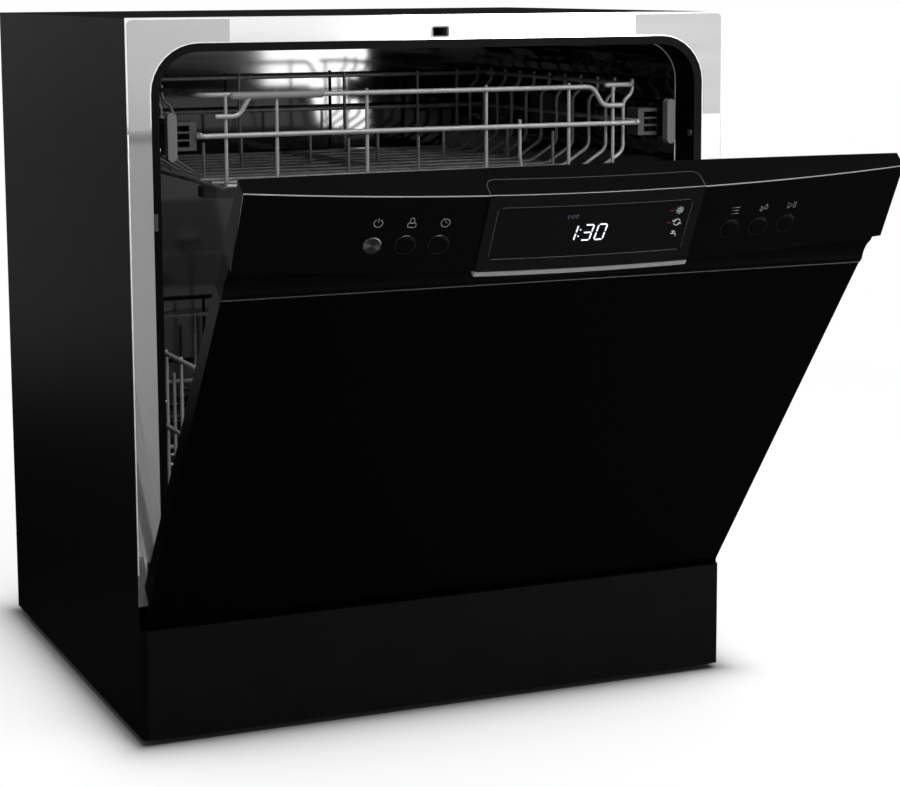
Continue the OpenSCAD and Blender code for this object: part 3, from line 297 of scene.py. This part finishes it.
# From where the closed door is to where it rests
OPENED = Matrix.Rotation(math.radians(REST_DEGREES), 4, "X")
DOOR = Matrix.Translation(HINGE) @ OPENED @ Matrix.Translation(-HINGE)


def on_panel(x, z, out=0.0):
    """A point on the closed panel's bowed, leaning front, swung to where the door rests. Millimetres."""
    proud = FASCIA_PROUD - FASCIA_LEAN * (z - FASCIA_Z0) / (FASCIA_EDGE_Z - FASCIA_Z0)
    proud += math.sqrt(BOW_R ** 2 - x * x) - BOW_R + BOW
    return DOOR @ Vector((x, FACE_Y - proud - out, z))


def rounded_path(points, bend, steps=5):
    """The path with each inner corner turned into an arc of about this radius."""
    points = [Vector(p) for p in points]
    path = [points[0]]
    for before, corner, after in zip(points, points[1:], points[2:]):
        into, away = (corner - before), (after - corner)
        cut = min(bend, into.length * 0.45, away.length * 0.45)
        start = corner - into.normalized() * cut
        end = corner + away.normalized() * cut
        for i in range(steps + 1):
            t = i / steps
            path.append((1 - t) ** 2 * start + 2 * t * (1 - t) * corner + t * t * end)
    path.append(points[-1])
    return path


def add_tube(bm, path, radius, sides=12):
    """Sweeps a circle along a path, and closes its ends with low domes."""
    path = [Vector(p) for p in path]
    stations = []
    for i, point in enumerate(path):
        ahead = (path[min(i + 1, len(path) - 1)] - path[max(i - 1, 0)]).normalized()
        stations.append((point, ahead, radius))
    tip_out, tip_r = radius * 0.5, radius * 0.55
    (start, ahead_first), (end, ahead_last) = stations[0][:2], stations[-1][:2]
    stations.insert(0, (start - ahead_first * tip_out, ahead_first, tip_r))
    stations.append((end + ahead_last * tip_out, ahead_last, tip_r))
    side = (path[1] - path[0]).normalized().orthogonal().normalized()
    rings = []
    for point, ahead, r in stations:
        side = (side - ahead * side.dot(ahead)).normalized()
        over = ahead.cross(side)
        rings.append([bm.verts.new((point + (side * math.cos(a) + over * math.sin(a)) * r) * MM)
                      for a in (2 * math.pi * k / sides for k in range(sides))])
    for a, b in zip(rings, rings[1:]):
        for k in range(sides):
            bm.faces.new((a[k], a[(k + 1) % sides], b[(k + 1) % sides], b[k]))
    bm.faces.new(list(reversed(rings[0])))
    bm.faces.new(rings[-1])


def add_object(name, data):
    """Puts new data into the scene."""
    item = bpy.data.objects.new(name, data)
    bpy.context.scene.collection.objects.link(item)
    return item


def add_mesh(name, bm, material):
    """Puts a bmesh into the scene with its material."""
    mesh = bpy.data.meshes.new(name)
    bm.to_mesh(mesh)
    bm.free()
    mesh.materials.append(material)
    return add_object(name, mesh)


def make_piece(name, bm, material, body, smooth=True):
    """Turns a bmesh into a piece that rides on a CAD body."""
    bmesh.ops.recalc_face_normals(bm, faces=bm.faces)
    piece = add_mesh(name, bm, material)
    if smooth:
        piece.data.shade_smooth()
        piece.data.set_sharp_from_angle(angle=SHARP)
    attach(piece, body)
    return piece


def soften(piece, width, angle):
    """Rounds the edges that turn by more than this angle. Millimetres and degrees."""
    edge = piece.modifiers.new("edge", "BEVEL")
    edge.width = width * MM
    edge.segments = 2
    edge.limit_method = "ANGLE"
    edge.angle_limit = math.radians(angle)


def tubes(name, paths, material, body, sides=12):
    """One piece made of several swept wires: (points, radius, bend)."""
    bm = bmesh.new()
    for points, radius, bend in paths:
        add_tube(bm, rounded_path(points, bend) if bend else points, radius, sides)
    return make_piece(name, bm, material, body)


def plate(name, outline, y_front, y_back, material, body, bevel):
    """A thin plate from an outline in X and Z, facing the front."""
    bm = bmesh.new()
    back, front = ([bm.verts.new(Vector((x, y, z)) * MM) for x, z in outline] for y in (y_back, y_front))
    bm.faces.new(back)
    bm.faces.new(front)
    for k in range(len(outline)):
        bm.faces.new((back[k - 1], back[k], front[k], front[k - 1]))
    soften(make_piece(name, bm, material, body, smooth=False), bevel, 50)


def arc(cx, cz, r, a0, a1, steps=10):
    """Points of an arc in X and Z, from one angle to the other, in degrees."""
    return [(cx + r * math.cos(math.radians(a0 + (a1 - a0) * i / steps)),
             cz + r * math.sin(math.radians(a0 + (a1 - a0) * i / steps))) for i in range(steps + 1)]


# ---------- racks ----------

def flipped(path):
    """The path on the other side of the middle."""
    return [(-x, y, z) for x, y, z in path]


def upper_rack_wires():
    """Upper rack: a front rail with dropped ends, rims, wires along and across, and tines."""
    x, y0, y1, top, floor = UPPER_X, RACK_Y0, RACK_Y1, UPPER_TOP, UPPER_FLOOR
    middle, drop, over = top - 33, 17, RIM_R
    rail = [(x - 14, y0, top - drop), (x - 34, y0, top - drop), (x - 44, y0, top)]
    paths = [(flipped(rail) + rail[::-1], RIM_R, 6)]
    for s in (-1, 1):
        rim = [(s * (x - 30), y0 + 3, top + 1), (s * x, y0 + 3, top + 1), (s * x, y1, top + 1)]
        paths.append((rim, RIM_R, 12))
        paths.append(([(s * x, y0 - over, middle + 1), (s * x, y1 + over, middle + 1)], RIM_R, 0))
    paths.append(([(-x - over, y1, top), (x + over, y1, top)], RIM_R, 0))
    for y in (y0, y1):
        paths.append(([(-x - over, y, middle), (x + over, y, middle)], RIM_R, 0))

    # wires from front to back: up the front, along the floor and up the back
    lap, bend = 2, 14
    for u in (-x + 23, -x + 68, -55, 57, x - 67, x - 23):
        tip = top + (1 if abs(u) > x - 34 else 3)
        front = [(u, y0 + lap, tip), (u, y0 + lap, floor - lap)]
        wire = front + [(u, y1 - lap, floor - lap), (u, y1 - lap, top + 3)]
        paths.append((wire, WIRE_R, bend))
    short = x - 115
    upright = [(short, y0 + lap, middle + 5), (short, y0 + lap, floor + 16),
               (short + 2, y0 + 4, floor + 10), (short + 2, y0 + 4, floor)]
    paths.append((upright, WIRE_R, 4))

    # wires from side to side: a step inwards under the rim, and a slanting corner down to the floor;
    # the first three have no left half
    count, halves, first, pitch = 11, 3, 9, 34.2
    step, slant = x - 9, x - 36
    for i in range(count):
        y = y0 + first + i * pitch
        right = [(x, y, top + 5), (x, y, top - 7), (step, y, top - 14), (step, y, floor + 17),
                 (slant, y, floor)]
        left = [(-x + 23, y, floor)] if i < halves else flipped(right)
        paths.append((left + right[::-1], WIRE_R, 6))
    add_tines(paths, x, floor, columns=range(1, 12, 2), of_columns=12, rows=(2, 4), of_rows=7, height=30)
    rack = tubes("upper_rack_wires", paths, FINISH["rack_wire"], "upper_basket")
    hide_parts("upper_rack")
    sleeve = [(-x + 28, y0, top), (-x + 108, y0, top)]
    tubes("rail_sleeve", [(sleeve, RIM_R + 1.1, 0)], SLEEVE, "upper_basket", sides=20)


def add_tines(paths, x, floor, columns, of_columns, rows, of_rows, height):
    """Rows of upright wires on a rack's floor."""
    for row in rows:
        for i in columns:
            u = -x + i * 2 * x / of_columns
            y = RACK_Y0 + row * (RACK_Y1 - RACK_Y0) / of_rows + 1
            paths.append(([(u, y, floor - 1), (u, y, floor + height)], WIRE_R, 0))


def lower_rack_wires():
    """Lower rack: three rims, a grid for its floor, uprights on all sides, and tines."""
    x, y0, y1, top, floor, over = LOWER_X, RACK_Y0, RACK_Y1, LOWER_TOP, LOWER_FLOOR, RIM_R
    columns, rows, lap = 9, 8, 1.4
    paths = []
    for z in (floor, (floor + top) / 2, top):
        for y in (y0, y1):
            paths.append(([(-x - over, y, z), (x + over, y, z)], RIM_R, 0))
        for s in (-1, 1):
            paths.append(([(s * x, y0 - over, z + 1), (s * x, y1 + over, z + 1)], RIM_R, 0))
    for i in range(1, columns):
        u = -x + i * 2 * x / columns
        for y in (y0 + lap, y1 - lap):
            paths.append(([(u, y, floor - 1), (u, y, top + 2)], WIRE_R, 0))
        paths.append(([(u, y0 - over, floor - WIRE_R), (u, y1 + over, floor - WIRE_R)], WIRE_R, 0))
    for i in range(1, rows):
        y = y0 + i * (y1 - y0) / rows
        paths.append(([(-x - over, y, floor + 1.5), (x + over, y, floor + 1.5)], WIRE_R, 0))
        for s in (-1, 1):
            paths.append(([(s * (x - lap), y, floor - 1), (s * (x - lap), y, top + 3)], WIRE_R, 0))
    add_tines(paths, x, floor, columns=range(1, 7), of_columns=columns, rows=(2, 4, 6), of_rows=rows,
              height=88)
    paths = [([(px, py + LOWER_SHIFT, pz) for px, py, pz in points], r, b) for points, r, b in paths]
    rack = tubes("lower_rack_wires", paths, FINISH["rack_wire"], "lower_basket")
    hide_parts("lower_rack")


# ---------- cabinet front ----------

def frame_corners():
    """Satin covers on the two upper corners of the bright frame."""
    inner, low, edge, gap, corner = 187, 515, 1.6, 1.1, 4
    side, top = HALF_W - edge, CABINET_TOP - edge
    turn = arc(OPEN_X - OPEN_R, OPEN_TOP - OPEN_R, OPEN_R + gap, 90, 0, 12)
    outer = arc(side - corner, top - corner, corner, 0, 90, 4)
    outline = [(inner, OPEN_TOP + gap), *turn, (OPEN_X + gap, low), (side, low), *outer, (inner, top)]
    for s, name in ((-1, "left"), (1, "right")):
        plate("frame_corner_" + name, [(s * x, z) for x, z in outline], FRONT_Y - 0.35, FRONT_Y - 0.02,
              CORNER_SATIN, "cabinet", bevel=0.12)


def latch_bezel():
    """The rounded lip round the latch slot, near white as a painted highlight."""
    cz, half_w, half_h, r, lip = CABINET_TOP - 14.5, 8.2, 4.9, 2.2, 0.55
    x, z = half_w - r, half_h - r
    corners = ((x, z, 0), (-x, z, 90), (-x, -z, 180), (x, -z, 270))
    outline = [point for cx, up, a in corners for point in arc(cx, cz + up, r, a, a + 90, 4)]
    loop = [(px, FRONT_Y - lip, pz) for px, pz in outline + outline[:1]]
    tubes("latch_bezel", [(loop, lip, 0)], NEAR_WHITE_HIGHLIGHT, "cabinet", sides=8)


def tub_mouth():
    """A thin black sheet lining the first part of the tub behind the seal, as painted shade on its steel, and
    a near-white line where it ends, as a painted highlight.
    """
    half, top, r, low, front, back, thick = 249.5, 580, 36, 150, -217, -191, 0.35

    def arch(inset):
        """The mouth's outline from the lower right over the top to the lower left, this far inside it."""
        side = [(half - inset, low), *arc(half - r, top - r, r - inset, 0, 90, 15)]
        return side + [(-x, z) for x, z in reversed(side)]

    outer, inner = arch(0), arch(thick)
    bm = bmesh.new()
    rings = [[bm.verts.new(Vector((x, y, z)) * MM) for x, z in line]
             for line, y in ((outer, front), (outer, back), (inner, back), (inner, front))]
    for a, b in zip(rings, rings[1:] + rings[:1]):
        for k in range(len(a) - 1):
            bm.faces.new((a[k], a[k + 1], b[k + 1], b[k]))
    for k in (0, -1):
        bm.faces.new([ring[k] for ring in rings])
    # the black sheet is painted shade on the tub's steel mouth
    make_piece("mouth_shade_sheet", bm, FINISH["seal_rubber"], "cabinet")

    # a near-white line paints the fold's highlight above the rails, and again below them
    x, y, highlight_r = half - thick, back + 0.3, 0.6
    above, below, end = 519, 489, 330
    turns = [(px, y, pz) for px, pz in inner if pz > top - r + 1]
    paths = [[(x, y, above), *turns, (-x, y, above)]]
    paths += [[(s * x, y, below), (s * x, y, end)] for s in (-1, 1)]
    tubes("mouth_fold_highlight", [(path, highlight_r, 0) for path in paths], NEAR_WHITE_HIGHLIGHT, "cabinet", sides=8)


def frame_edge_highlights():
    """Near-white lines down the outer sides of the frame, as painted highlights on its folds."""
    x, y, low, high, highlight_r = HALF_W - 0.6, FRONT_Y - 0.1, 147, 512, 0.5
    folds = [([(s * x, y, low), (s * x, y, high)], highlight_r, 0) for s in (-1, 1)]
    tubes("frame_edge_highlights", folds, NEAR_WHITE_HIGHLIGHT, "cabinet", sides=8)


# ---------- control panel ----------

def strokes(name, shapes, radius, out, material):
    """Fine lines along flat outlines that are laid on the panel's front, as one piece."""
    paths = [([on_panel(x, z, out) for x, z in shape], radius, 0) for shape in shapes]
    tubes(name, paths, material, "door", sides=6)


def circle(cx, cz, r, steps=24):
    """A closed ring in X and Z."""
    return arc(cx, cz, r, 0, 360, steps)


def panel_prints():
    """Generic marks over the buttons: power, lock, clock, programme list, drops, and start or pause."""
    z = BUTTON_Z + 18.5
    x = BUTTONS_LEFT[0] + 2
    power = [arc(x, z, 3.3, 120, 420, 16), [(x, z + 0.6), (x, z + 4)]]
    x = BUTTONS_LEFT[1] + 2
    case = [*arc(x + 2, z - 2.4, 1.1, -90, 0, 4), *arc(x + 2, z - 0.9, 1.1, 0, 90, 4),
            *arc(x - 2, z - 0.9, 1.1, 90, 180, 4), *arc(x - 2, z - 2.4, 1.1, 180, 270, 4)]
    lock = [case + case[:1], [(x - 1.6, z + 0.2), *arc(x, z + 2.7, 1.6, 180, 0, 8), (x + 1.6, z + 0.2)]]
    x = BUTTONS_LEFT[2] + 2
    clock = [circle(x, z, 3.4), [(x, z + 2.1), (x, z), (x + 1.7, z + 0.5)]]
    z -= 2
    x = BUTTONS_RIGHT[0] + 1
    programme = [[(x - 1.2, z + d), (x + 3, z + d)] for d in (-2.6, 0, 2.6)]
    programme += [[(x - 3.2, z + d), (x - 2.7, z + d)] for d in (-2.6, 0, 2.6)]
    x = BUTTONS_RIGHT[1] + 1
    drops = []
    for cx, cz in ((x - 2, z - 1.2), (x + 2, z + 0.2)):
        drops.append([(cx, cz + 3), (cx + 1.3, cz + 0.4), *arc(cx, cz, 1.4, 0, -180, 8), (cx, cz + 3)])
    x = BUTTONS_RIGHT[2] + 1
    play = [[(x - 3.4, z - 2.6), (x - 3.4, z + 2.6), (x + 0.6, z), (x - 3.4, z - 2.6)],
            [(x + 2.1, z - 2.6), (x + 2.1, z + 2.6)], [(x + 3.7, z - 2.6), (x + 3.7, z + 2.6)]]
    strokes("panel_prints", power + lock + clock + programme + drops + play, 0.28, -0.12, PRINT_WHITE)


def button_rings():
    """A fine raised ring round each black button."""
    rings = [circle(x, BUTTON_Z, BUTTON_R + 0.75, 40) for x in BUTTONS_LEFT[1:] + BUTTONS_RIGHT]
    strokes("button_rings", rings, 0.42, -0.1, RING_BLACK)


def on_top(x, back):
    """A point on the panel's top face, this far behind its front edge."""
    proud = FASCIA_PROUD - FASCIA_LEAN + math.sqrt(BOW_R ** 2 - x * x) - BOW_R + BOW
    return DOOR @ Vector((x, FACE_Y - proud + back, FASCIA_EDGE_Z + 0.1 * back))


def module_lines():
    """Painted highlights in fine light lines: behind the display module on the panel's top face, and round its
    window.
    """
    half, back, bend = 88.5, 15.5, 4
    behind = [(x, back) for x in range(-84, 85, 12)]
    places = [(-half, 0.5), (-half, back - bend), *behind, (half, back - bend), (half, 0.5)]
    joint = [on_top(x, d) for x, d in places]
    # a painted highlight along the display module's joint
    tubes("module_joint_highlight", [(joint, 0.22, bend)], EDGE_LINE_HIGHLIGHT, "door", sides=6)
    low, high, side = 542.7, 586.9, 80.4
    edges = [[(x, z) for x in range(-78, 79, 12)] for z in (low, high)]
    edges += [[(s * side, z) for z in (low + 2, 565, high - 2)] for s in (-1, 1)]
    # painted highlights round the display window
    strokes("window_edges", edges, 0.2, 0.95, EDGE_LINE_HIGHLIGHT)


def bright_edges():
    """Painted highlights in thin light lines: along the front edge of the panel's top, its left end, and the
    lower door panel's top edge.
    """
    half, low, high, steps = 272.4, FASCIA_Z0 + 3, FASCIA_EDGE_Z - 0.4, 24
    rim = [on_panel(half * (2 * i / steps - 1), high, -0.1) for i in range(steps + 1)]
    end = [on_panel(-half, low + i * (high - low) / 4, -0.2) for i in range(5)]
    # painted highlights along the panel's top front edge and its left end
    tubes("panel_edge_highlight", [(rim, 0.5, 0), (end, 0.22, 0)], EDGE_HIGHLIGHT_GREY, "door", sides=8)
    half, y, z = 271.4, FACE_Y - 0.75, 496.3
    line = [DOOR @ Vector((s * half, y, z)) for s in (-1, 1)]
    # a painted highlight along the lower door panel's top edge
    tubes("door_panel_edge_highlight", [(line, 0.55, 0)], EDGE_LINE_HIGHLIGHT, "door", sides=8)


SEGMENTS = {"0": "abcdef", "1": "bc", "3": "abcdg"}


def digit(x, z, w, h, name):
    """The lit segments of one slanted seven-segment figure."""
    slant, gap = 0.12, 0.9

    def at(px, pz):
        """A point of the slanted figure."""
        return (x + px + slant * pz, z + pz)

    lines = {
        "a": ((0, h), (w, h)), "b": ((w, h), (w, h / 2)), "c": ((w, h / 2), (w, 0)), "d": ((w, 0), (0, 0)),
        "e": ((0, 0), (0, h / 2)), "f": ((0, h / 2), (0, h)), "g": ((0, h / 2), (w, h / 2)),
    }
    shapes = []
    for key in SEGMENTS[name]:
        (ax, az), (bx, bz) = lines[key]
        length = math.hypot(bx - ax, bz - az)
        ux, uz = (bx - ax) / length * gap, (bz - az) / length * gap
        shapes.append([at(ax + ux, az + uz), at(bx - ux, bz - uz)])
    return shapes


def display_marks():
    """The time left, and small generic marks, behind the display window."""
    out, symbols_out = 1.1, 1.25
    z, w, h = 556.5, 7, 13.2
    lit = digit(-21, z, w, h, "1") + digit(-8, z, w, h, "3") + digit(3, z, w, h, "0")
    lit += [[(-10.8, z + 3.4), (-10.7, z + 3.9)], [(-10.1, z + 9), (-10, z + 9.5)]]
    strokes("display_digits", lit, 0.48, out, DIGIT_LIT)
    dim = [arc(-22 + k * 3.4, 577.5, 1.2, 0, 300, 8) for k in range(3)]
    strokes("display_dim_mark", dim, 0.22, symbols_out, DIGIT_DIM)

    # three symbols in a column, and a red dash beside the upper two
    x, first, second, third = 71, 578, 567.5, 557.5
    sun = [circle(x, first, 1.3, 12)]
    for k in range(8):
        ray = Vector((math.cos(math.radians(45 * k)), math.sin(math.radians(45 * k))))
        sun.append([Vector((x, first)) + ray * r for r in (2.1, 3.2)])
    turn = [arc(x, second, 2.7, 20, 165, 8), arc(x, second, 2.7, 200, 345, 8)]
    turn += [[(x - 4, second + 1.9), (x - 2.7, second + 0.2), (x - 1.2, second + 1.7)],
             [(x + 4, second - 1.9), (x + 2.7, second - 0.2), (x + 1.2, second - 1.7)]]
    tap = [[(x - 3, third), (x + 1.5, third), (x + 1.5, third - 2.5)], [(x - 1, third), (x - 1, third + 2)],
           [(x - 2.4, third + 2), (x + 0.4, third + 2)]]
    strokes("display_symbols", sun + turn + tap, 0.24, symbols_out, ICON_DIM)
    red = [[(x - 8, row), (x - 5.5, row)] for row in (first, second)]
    strokes("display_warnings", red, 0.3, symbols_out, ICON_RED)


# ---------- CAD nodes ----------

OWN_FINISH = {
    "door_liner": LINER, "roller_carriers": CARRIER, "seal_clips": CARRIER, "rail_end_caps": CAP,
    "display_module": MODULE,
}

# How much each node's sharp edges are rounded, in millimetres
SOFT_EDGES = {
    "outer_wrap": 0.6, "plinth": 0.8, "front_frame": 0.25, "rail_end_caps": 0.8,
    "door_panel": 0.35, "grip_band": 0.4, "grip_trim": 0.4, "control_fascia": 0.7,
    "display_module": 0.5, "display_window": 0.25, "dispenser_lid": 0.6,
}


def dress_nodes(frame):
    """Gives each CAD node its finish, and softens the edges that catch the light."""
    slots = {row["node"]: row["material_slot"] for row in frame["record"]["subparts"]}
    centre, ahead = (on_panel(BUTTONS_LEFT[0], BUTTON_Z, out) * MM for out in (0, 1))
    axis = ahead - centre
    own = {**OWN_FINISH, "button_power": spun("spun_power", grey(200), 0.3, centre, axis.normalized())}
    for name, node in frame["nodes"].items():
        node.data.materials.clear()
        node.data.materials.append(own.get(name) or FINISH[slots[name]])
    for name, width in SOFT_EDGES.items():
        soften(frame["nodes"][name], width, 35)


# ---------- stage ----------

def set_camera():
    """The camera of the photograph."""
    data = bpy.data.cameras.new("camera")
    data.sensor_width = SENSOR
    data.sensor_fit = "HORIZONTAL"
    data.lens = FOCAL_PX / PHOTO_W * SENSOR
    data.shift_x = -(AXIS_PX[0] - PHOTO_W / 2) / PHOTO_W
    data.shift_y = (AXIS_PX[1] - PHOTO_H / 2) / PHOTO_W
    data.clip_end = 100
    flat = math.cos(CAMERA_PITCH)
    ahead = Vector((math.sin(CAMERA_YAW) * flat, math.cos(CAMERA_YAW) * flat, math.sin(CAMERA_PITCH)))
    level = Vector((math.cos(CAMERA_YAW), -math.sin(CAMERA_YAW), 0))
    above = level.cross(ahead)
    right = level * math.cos(CAMERA_ROLL) + above * math.sin(CAMERA_ROLL)
    up = -level * math.sin(CAMERA_ROLL) + above * math.cos(CAMERA_ROLL)
    turn = Matrix((right, up, -ahead)).transposed()
    camera = add_object("camera", data)
    camera.matrix_world = Matrix.Translation(CAMERA_AT) @ turn.to_4x4()
    bpy.context.scene.camera = camera


def set_light(name, at, towards, size, power, in_mirrors=False):
    """An oblong lamp that the camera doesn't see, and mirrors only where it says so."""
    data = bpy.data.lights.new(name, "AREA")
    data.shape = "RECTANGLE"
    data.size, data.size_y = size
    data.energy = power
    lamp = add_object(name, data)
    lamp.location = at
    lamp.rotation_euler = (Vector(towards) - Vector(at)).to_track_quat("-Z", "Y").to_euler()
    lamp.visible_glossy = in_mirrors
    lamp.visible_camera = False


def set_flag(name, at, size):
    """A black card that only mirrors see: it keeps the bright room out of one side of the tub's back."""
    black = bpy.data.materials.new("flag_black")
    black.use_nodes = True
    shader = black.node_tree.nodes["Principled BSDF"]
    shader.inputs["Base Color"].default_value = (0, 0, 0, 1)
    shader.inputs["Specular IOR Level"].default_value = 0
    bm = bmesh.new()
    bmesh.ops.create_grid(bm, x_segments=1, y_segments=1, size=0.5)
    flag = add_mesh(name, bm, black)
    flag.location = at
    flag.rotation_euler = (math.radians(90), 0, 0)
    flag.scale = (*size, 1)
    flag.visible_camera = flag.visible_diffuse = flag.visible_shadow = False


def set_world(fill, sky, back):
    """White for the camera, a room for metal and glass to mirror, and a plain fill for everything else."""
    world = bpy.data.worlds.new("studio")
    bpy.context.scene.world = world
    world.use_nodes = True
    tree = world.node_tree
    nodes, links = tree.nodes, tree.links
    white = nodes["Background"]
    plain = nodes.new("ShaderNodeBackground")
    room = nodes.new("ShaderNodeBackground")
    for light, strength in ((white, 1), (plain, fill), (room, 1)):
        light.inputs["Color"].default_value = (1, 1, 1, 1)
        light.inputs["Strength"].default_value = strength
    place = nodes.new("ShaderNodeTexCoord")
    direction = nodes.new("ShaderNodeSeparateXYZ")
    links.new(place.outputs["Generated"], direction.inputs["Vector"])
    x, y, z = (direction.outputs[axis] for axis in "XYZ")
    height = ramp(tree, z, ROOM_HEIGHT, (1, sky))
    depth = ramp(tree, y, ROOM_DEPTH, (1, back))
    left = ramp(tree, y, ROOM_BACK, (FRONT_LEFT, BACK_LEFT))
    side = ramp(tree, x, ROOM_SIDE, (left, 1), smooth=True)
    level = math_node(tree, "MULTIPLY", height, math_node(tree, "MULTIPLY", side, depth))
    links.new(level, room.inputs["Color"])
    from_camera, from_mirror = ray_kinds(tree)
    lit = mix_shaders(tree, from_mirror, plain.outputs["Background"], room.outputs["Background"])
    seen = mix_shaders(tree, from_camera, lit, white.outputs["Background"])
    links.new(seen, nodes["World Output"].inputs["Surface"])


def set_floor():
    """A plain pale floor: it keeps the object's shadow close by, has a painted shadow in its colour along the
    cabinet's foot, and runs out to white.
    """
    material = bpy.data.materials.new("floor_white")
    material.use_nodes = True
    tree = material.node_tree
    nodes, links = tree.nodes, tree.links
    nodes.remove(nodes["Principled BSDF"])
    matte = nodes.new("ShaderNodeBsdfDiffuse")
    white = nodes.new("ShaderNodeEmission")
    card = nodes.new("ShaderNodeEmission")
    for light in (white, card):
        light.inputs["Strength"].default_value = 1
    place = nodes.new("ShaderNodeTexCoord")
    apart = nodes.new("ShaderNodeSeparateXYZ")
    links.new(place.outputs["Object"], apart.inputs["Vector"])
    x, y = apart.outputs["X"], apart.outputs["Y"]

    def maths(operation, *values):
        """The outcome of one sum in the floor's own material."""
        return math_node(tree, operation, *values)

    def past(length, start):
        """The part of a length beyond this start."""
        return maths("MAXIMUM", maths("SUBTRACT", length, start), 0)

    def fading(length, reach):
        """1 at no length at all, and less and less over about this reach."""
        return maths("EXPONENT", maths("MULTIPLY", length, -1 / reach))

    # distance from the cabinet's footprint, which counts for more on the left
    on_left = maths("LESS_THAN", x, 0)
    more = maths("ADD", maths("MULTIPLY", on_left, LEFT_NARROWER), 1)
    across = maths("MULTIPLY", past(maths("ABSOLUTE", x), HALF_W * MM), more)
    along = past(maths("ABSOLUTE", y), -FRONT_Y * MM)
    distance = maths("SQRT", maths("ADD", *(maths("MULTIPLY", gap, gap) for gap in (across, along))))

    # what the camera sees: the lit floor with its shadow, which turns to white further out
    # painted shadow: the floor's colour darkens close to the cabinet's footprint
    painted_shadow = maths("MULTIPLY", fading(distance, PAINTED_SHADOW_REACH), PAINTED_SHADOW_DEPTH)
    links.new(maths("SUBTRACT", FLOOR_MATTE, painted_shadow), matte.inputs["Color"])
    near = maths("SUBTRACT", 1, fading(past(distance, CONTACT), FLOOR_SHADOW))
    away = ramp(tree, distance, FLOOR_AWAY, smooth=True)
    share = maths("MAXIMUM", maths("MULTIPLY", near, FLOOR_WHITE), away)
    seen = mix_shaders(tree, share, matte.outputs["BSDF"], white.outputs["Emission"])

    # what mirrors see
    bright = ramp(tree, distance, MIRROR_AWAY, (MIRROR_NEAREST, 1), smooth=True)
    behind = ramp(tree, y, MIRROR_DEPTH, (1, FLOOR_BEHIND))
    aside = ramp(tree, x, MIRROR_SIDE, (FRONT_LEFT, 1), smooth=True)
    level = maths("MULTIPLY", bright, behind)
    level = maths("MULTIPLY", level, maths("MAXIMUM", aside, ramp(tree, y, MIRROR_FRONT)))
    links.new(level, card.inputs["Color"])

    from_camera, from_mirror = ray_kinds(tree)
    mirrored = mix_shaders(tree, from_mirror, matte.outputs["BSDF"], card.outputs["Emission"])
    links.new(mix_shaders(tree, from_camera, mirrored, seen), nodes["Material Output"].inputs["Surface"])

    reach = 14
    bm = bmesh.new()
    corners = ((-1, -1), (1, -1), (1, 1), (-1, 1))
    bm.faces.new([bm.verts.new((cx * reach, cy * reach, 0)) for cx, cy in corners])
    floor = add_mesh("floor", bm, material)


# ---------- the scene ----------

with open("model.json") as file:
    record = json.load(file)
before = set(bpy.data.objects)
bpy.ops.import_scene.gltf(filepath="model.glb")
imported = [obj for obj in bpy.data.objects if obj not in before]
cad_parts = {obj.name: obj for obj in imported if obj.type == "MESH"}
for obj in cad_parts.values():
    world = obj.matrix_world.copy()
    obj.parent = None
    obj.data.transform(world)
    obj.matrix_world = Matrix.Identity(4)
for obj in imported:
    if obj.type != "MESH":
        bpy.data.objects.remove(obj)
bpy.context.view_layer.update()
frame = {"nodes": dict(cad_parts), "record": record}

set_camera()
set_world(fill=0.4, sky=0.05, back=0.04)
set_light("overhead", (0.3, -0.6, 2.4), (0, 0, 0), (2.6, 2.2), 66)
set_light("strip", (0.4, -2.1, 2.4), (0.1, -0.3, 0.5), (2.8, 0.35), 50, in_mirrors=True)
set_light("card", (1.0, -2.2, 0.45), (0.1, 0.17, 0.5), (0.45, 0.5), 4.4, in_mirrors=True)
set_flag("flag", (0.57, -2.2, 0.37), (0.42, 0.26))
set_floor()

dress_nodes(frame)
upper_rack_wires()
lower_rack_wires()
frame_corners()
latch_bezel()
tub_mouth()
frame_edge_highlights()
panel_prints()
button_rings()
display_marks()
module_lines()
bright_edges()

scene = bpy.context.scene
scene.view_settings.view_transform = "Standard"
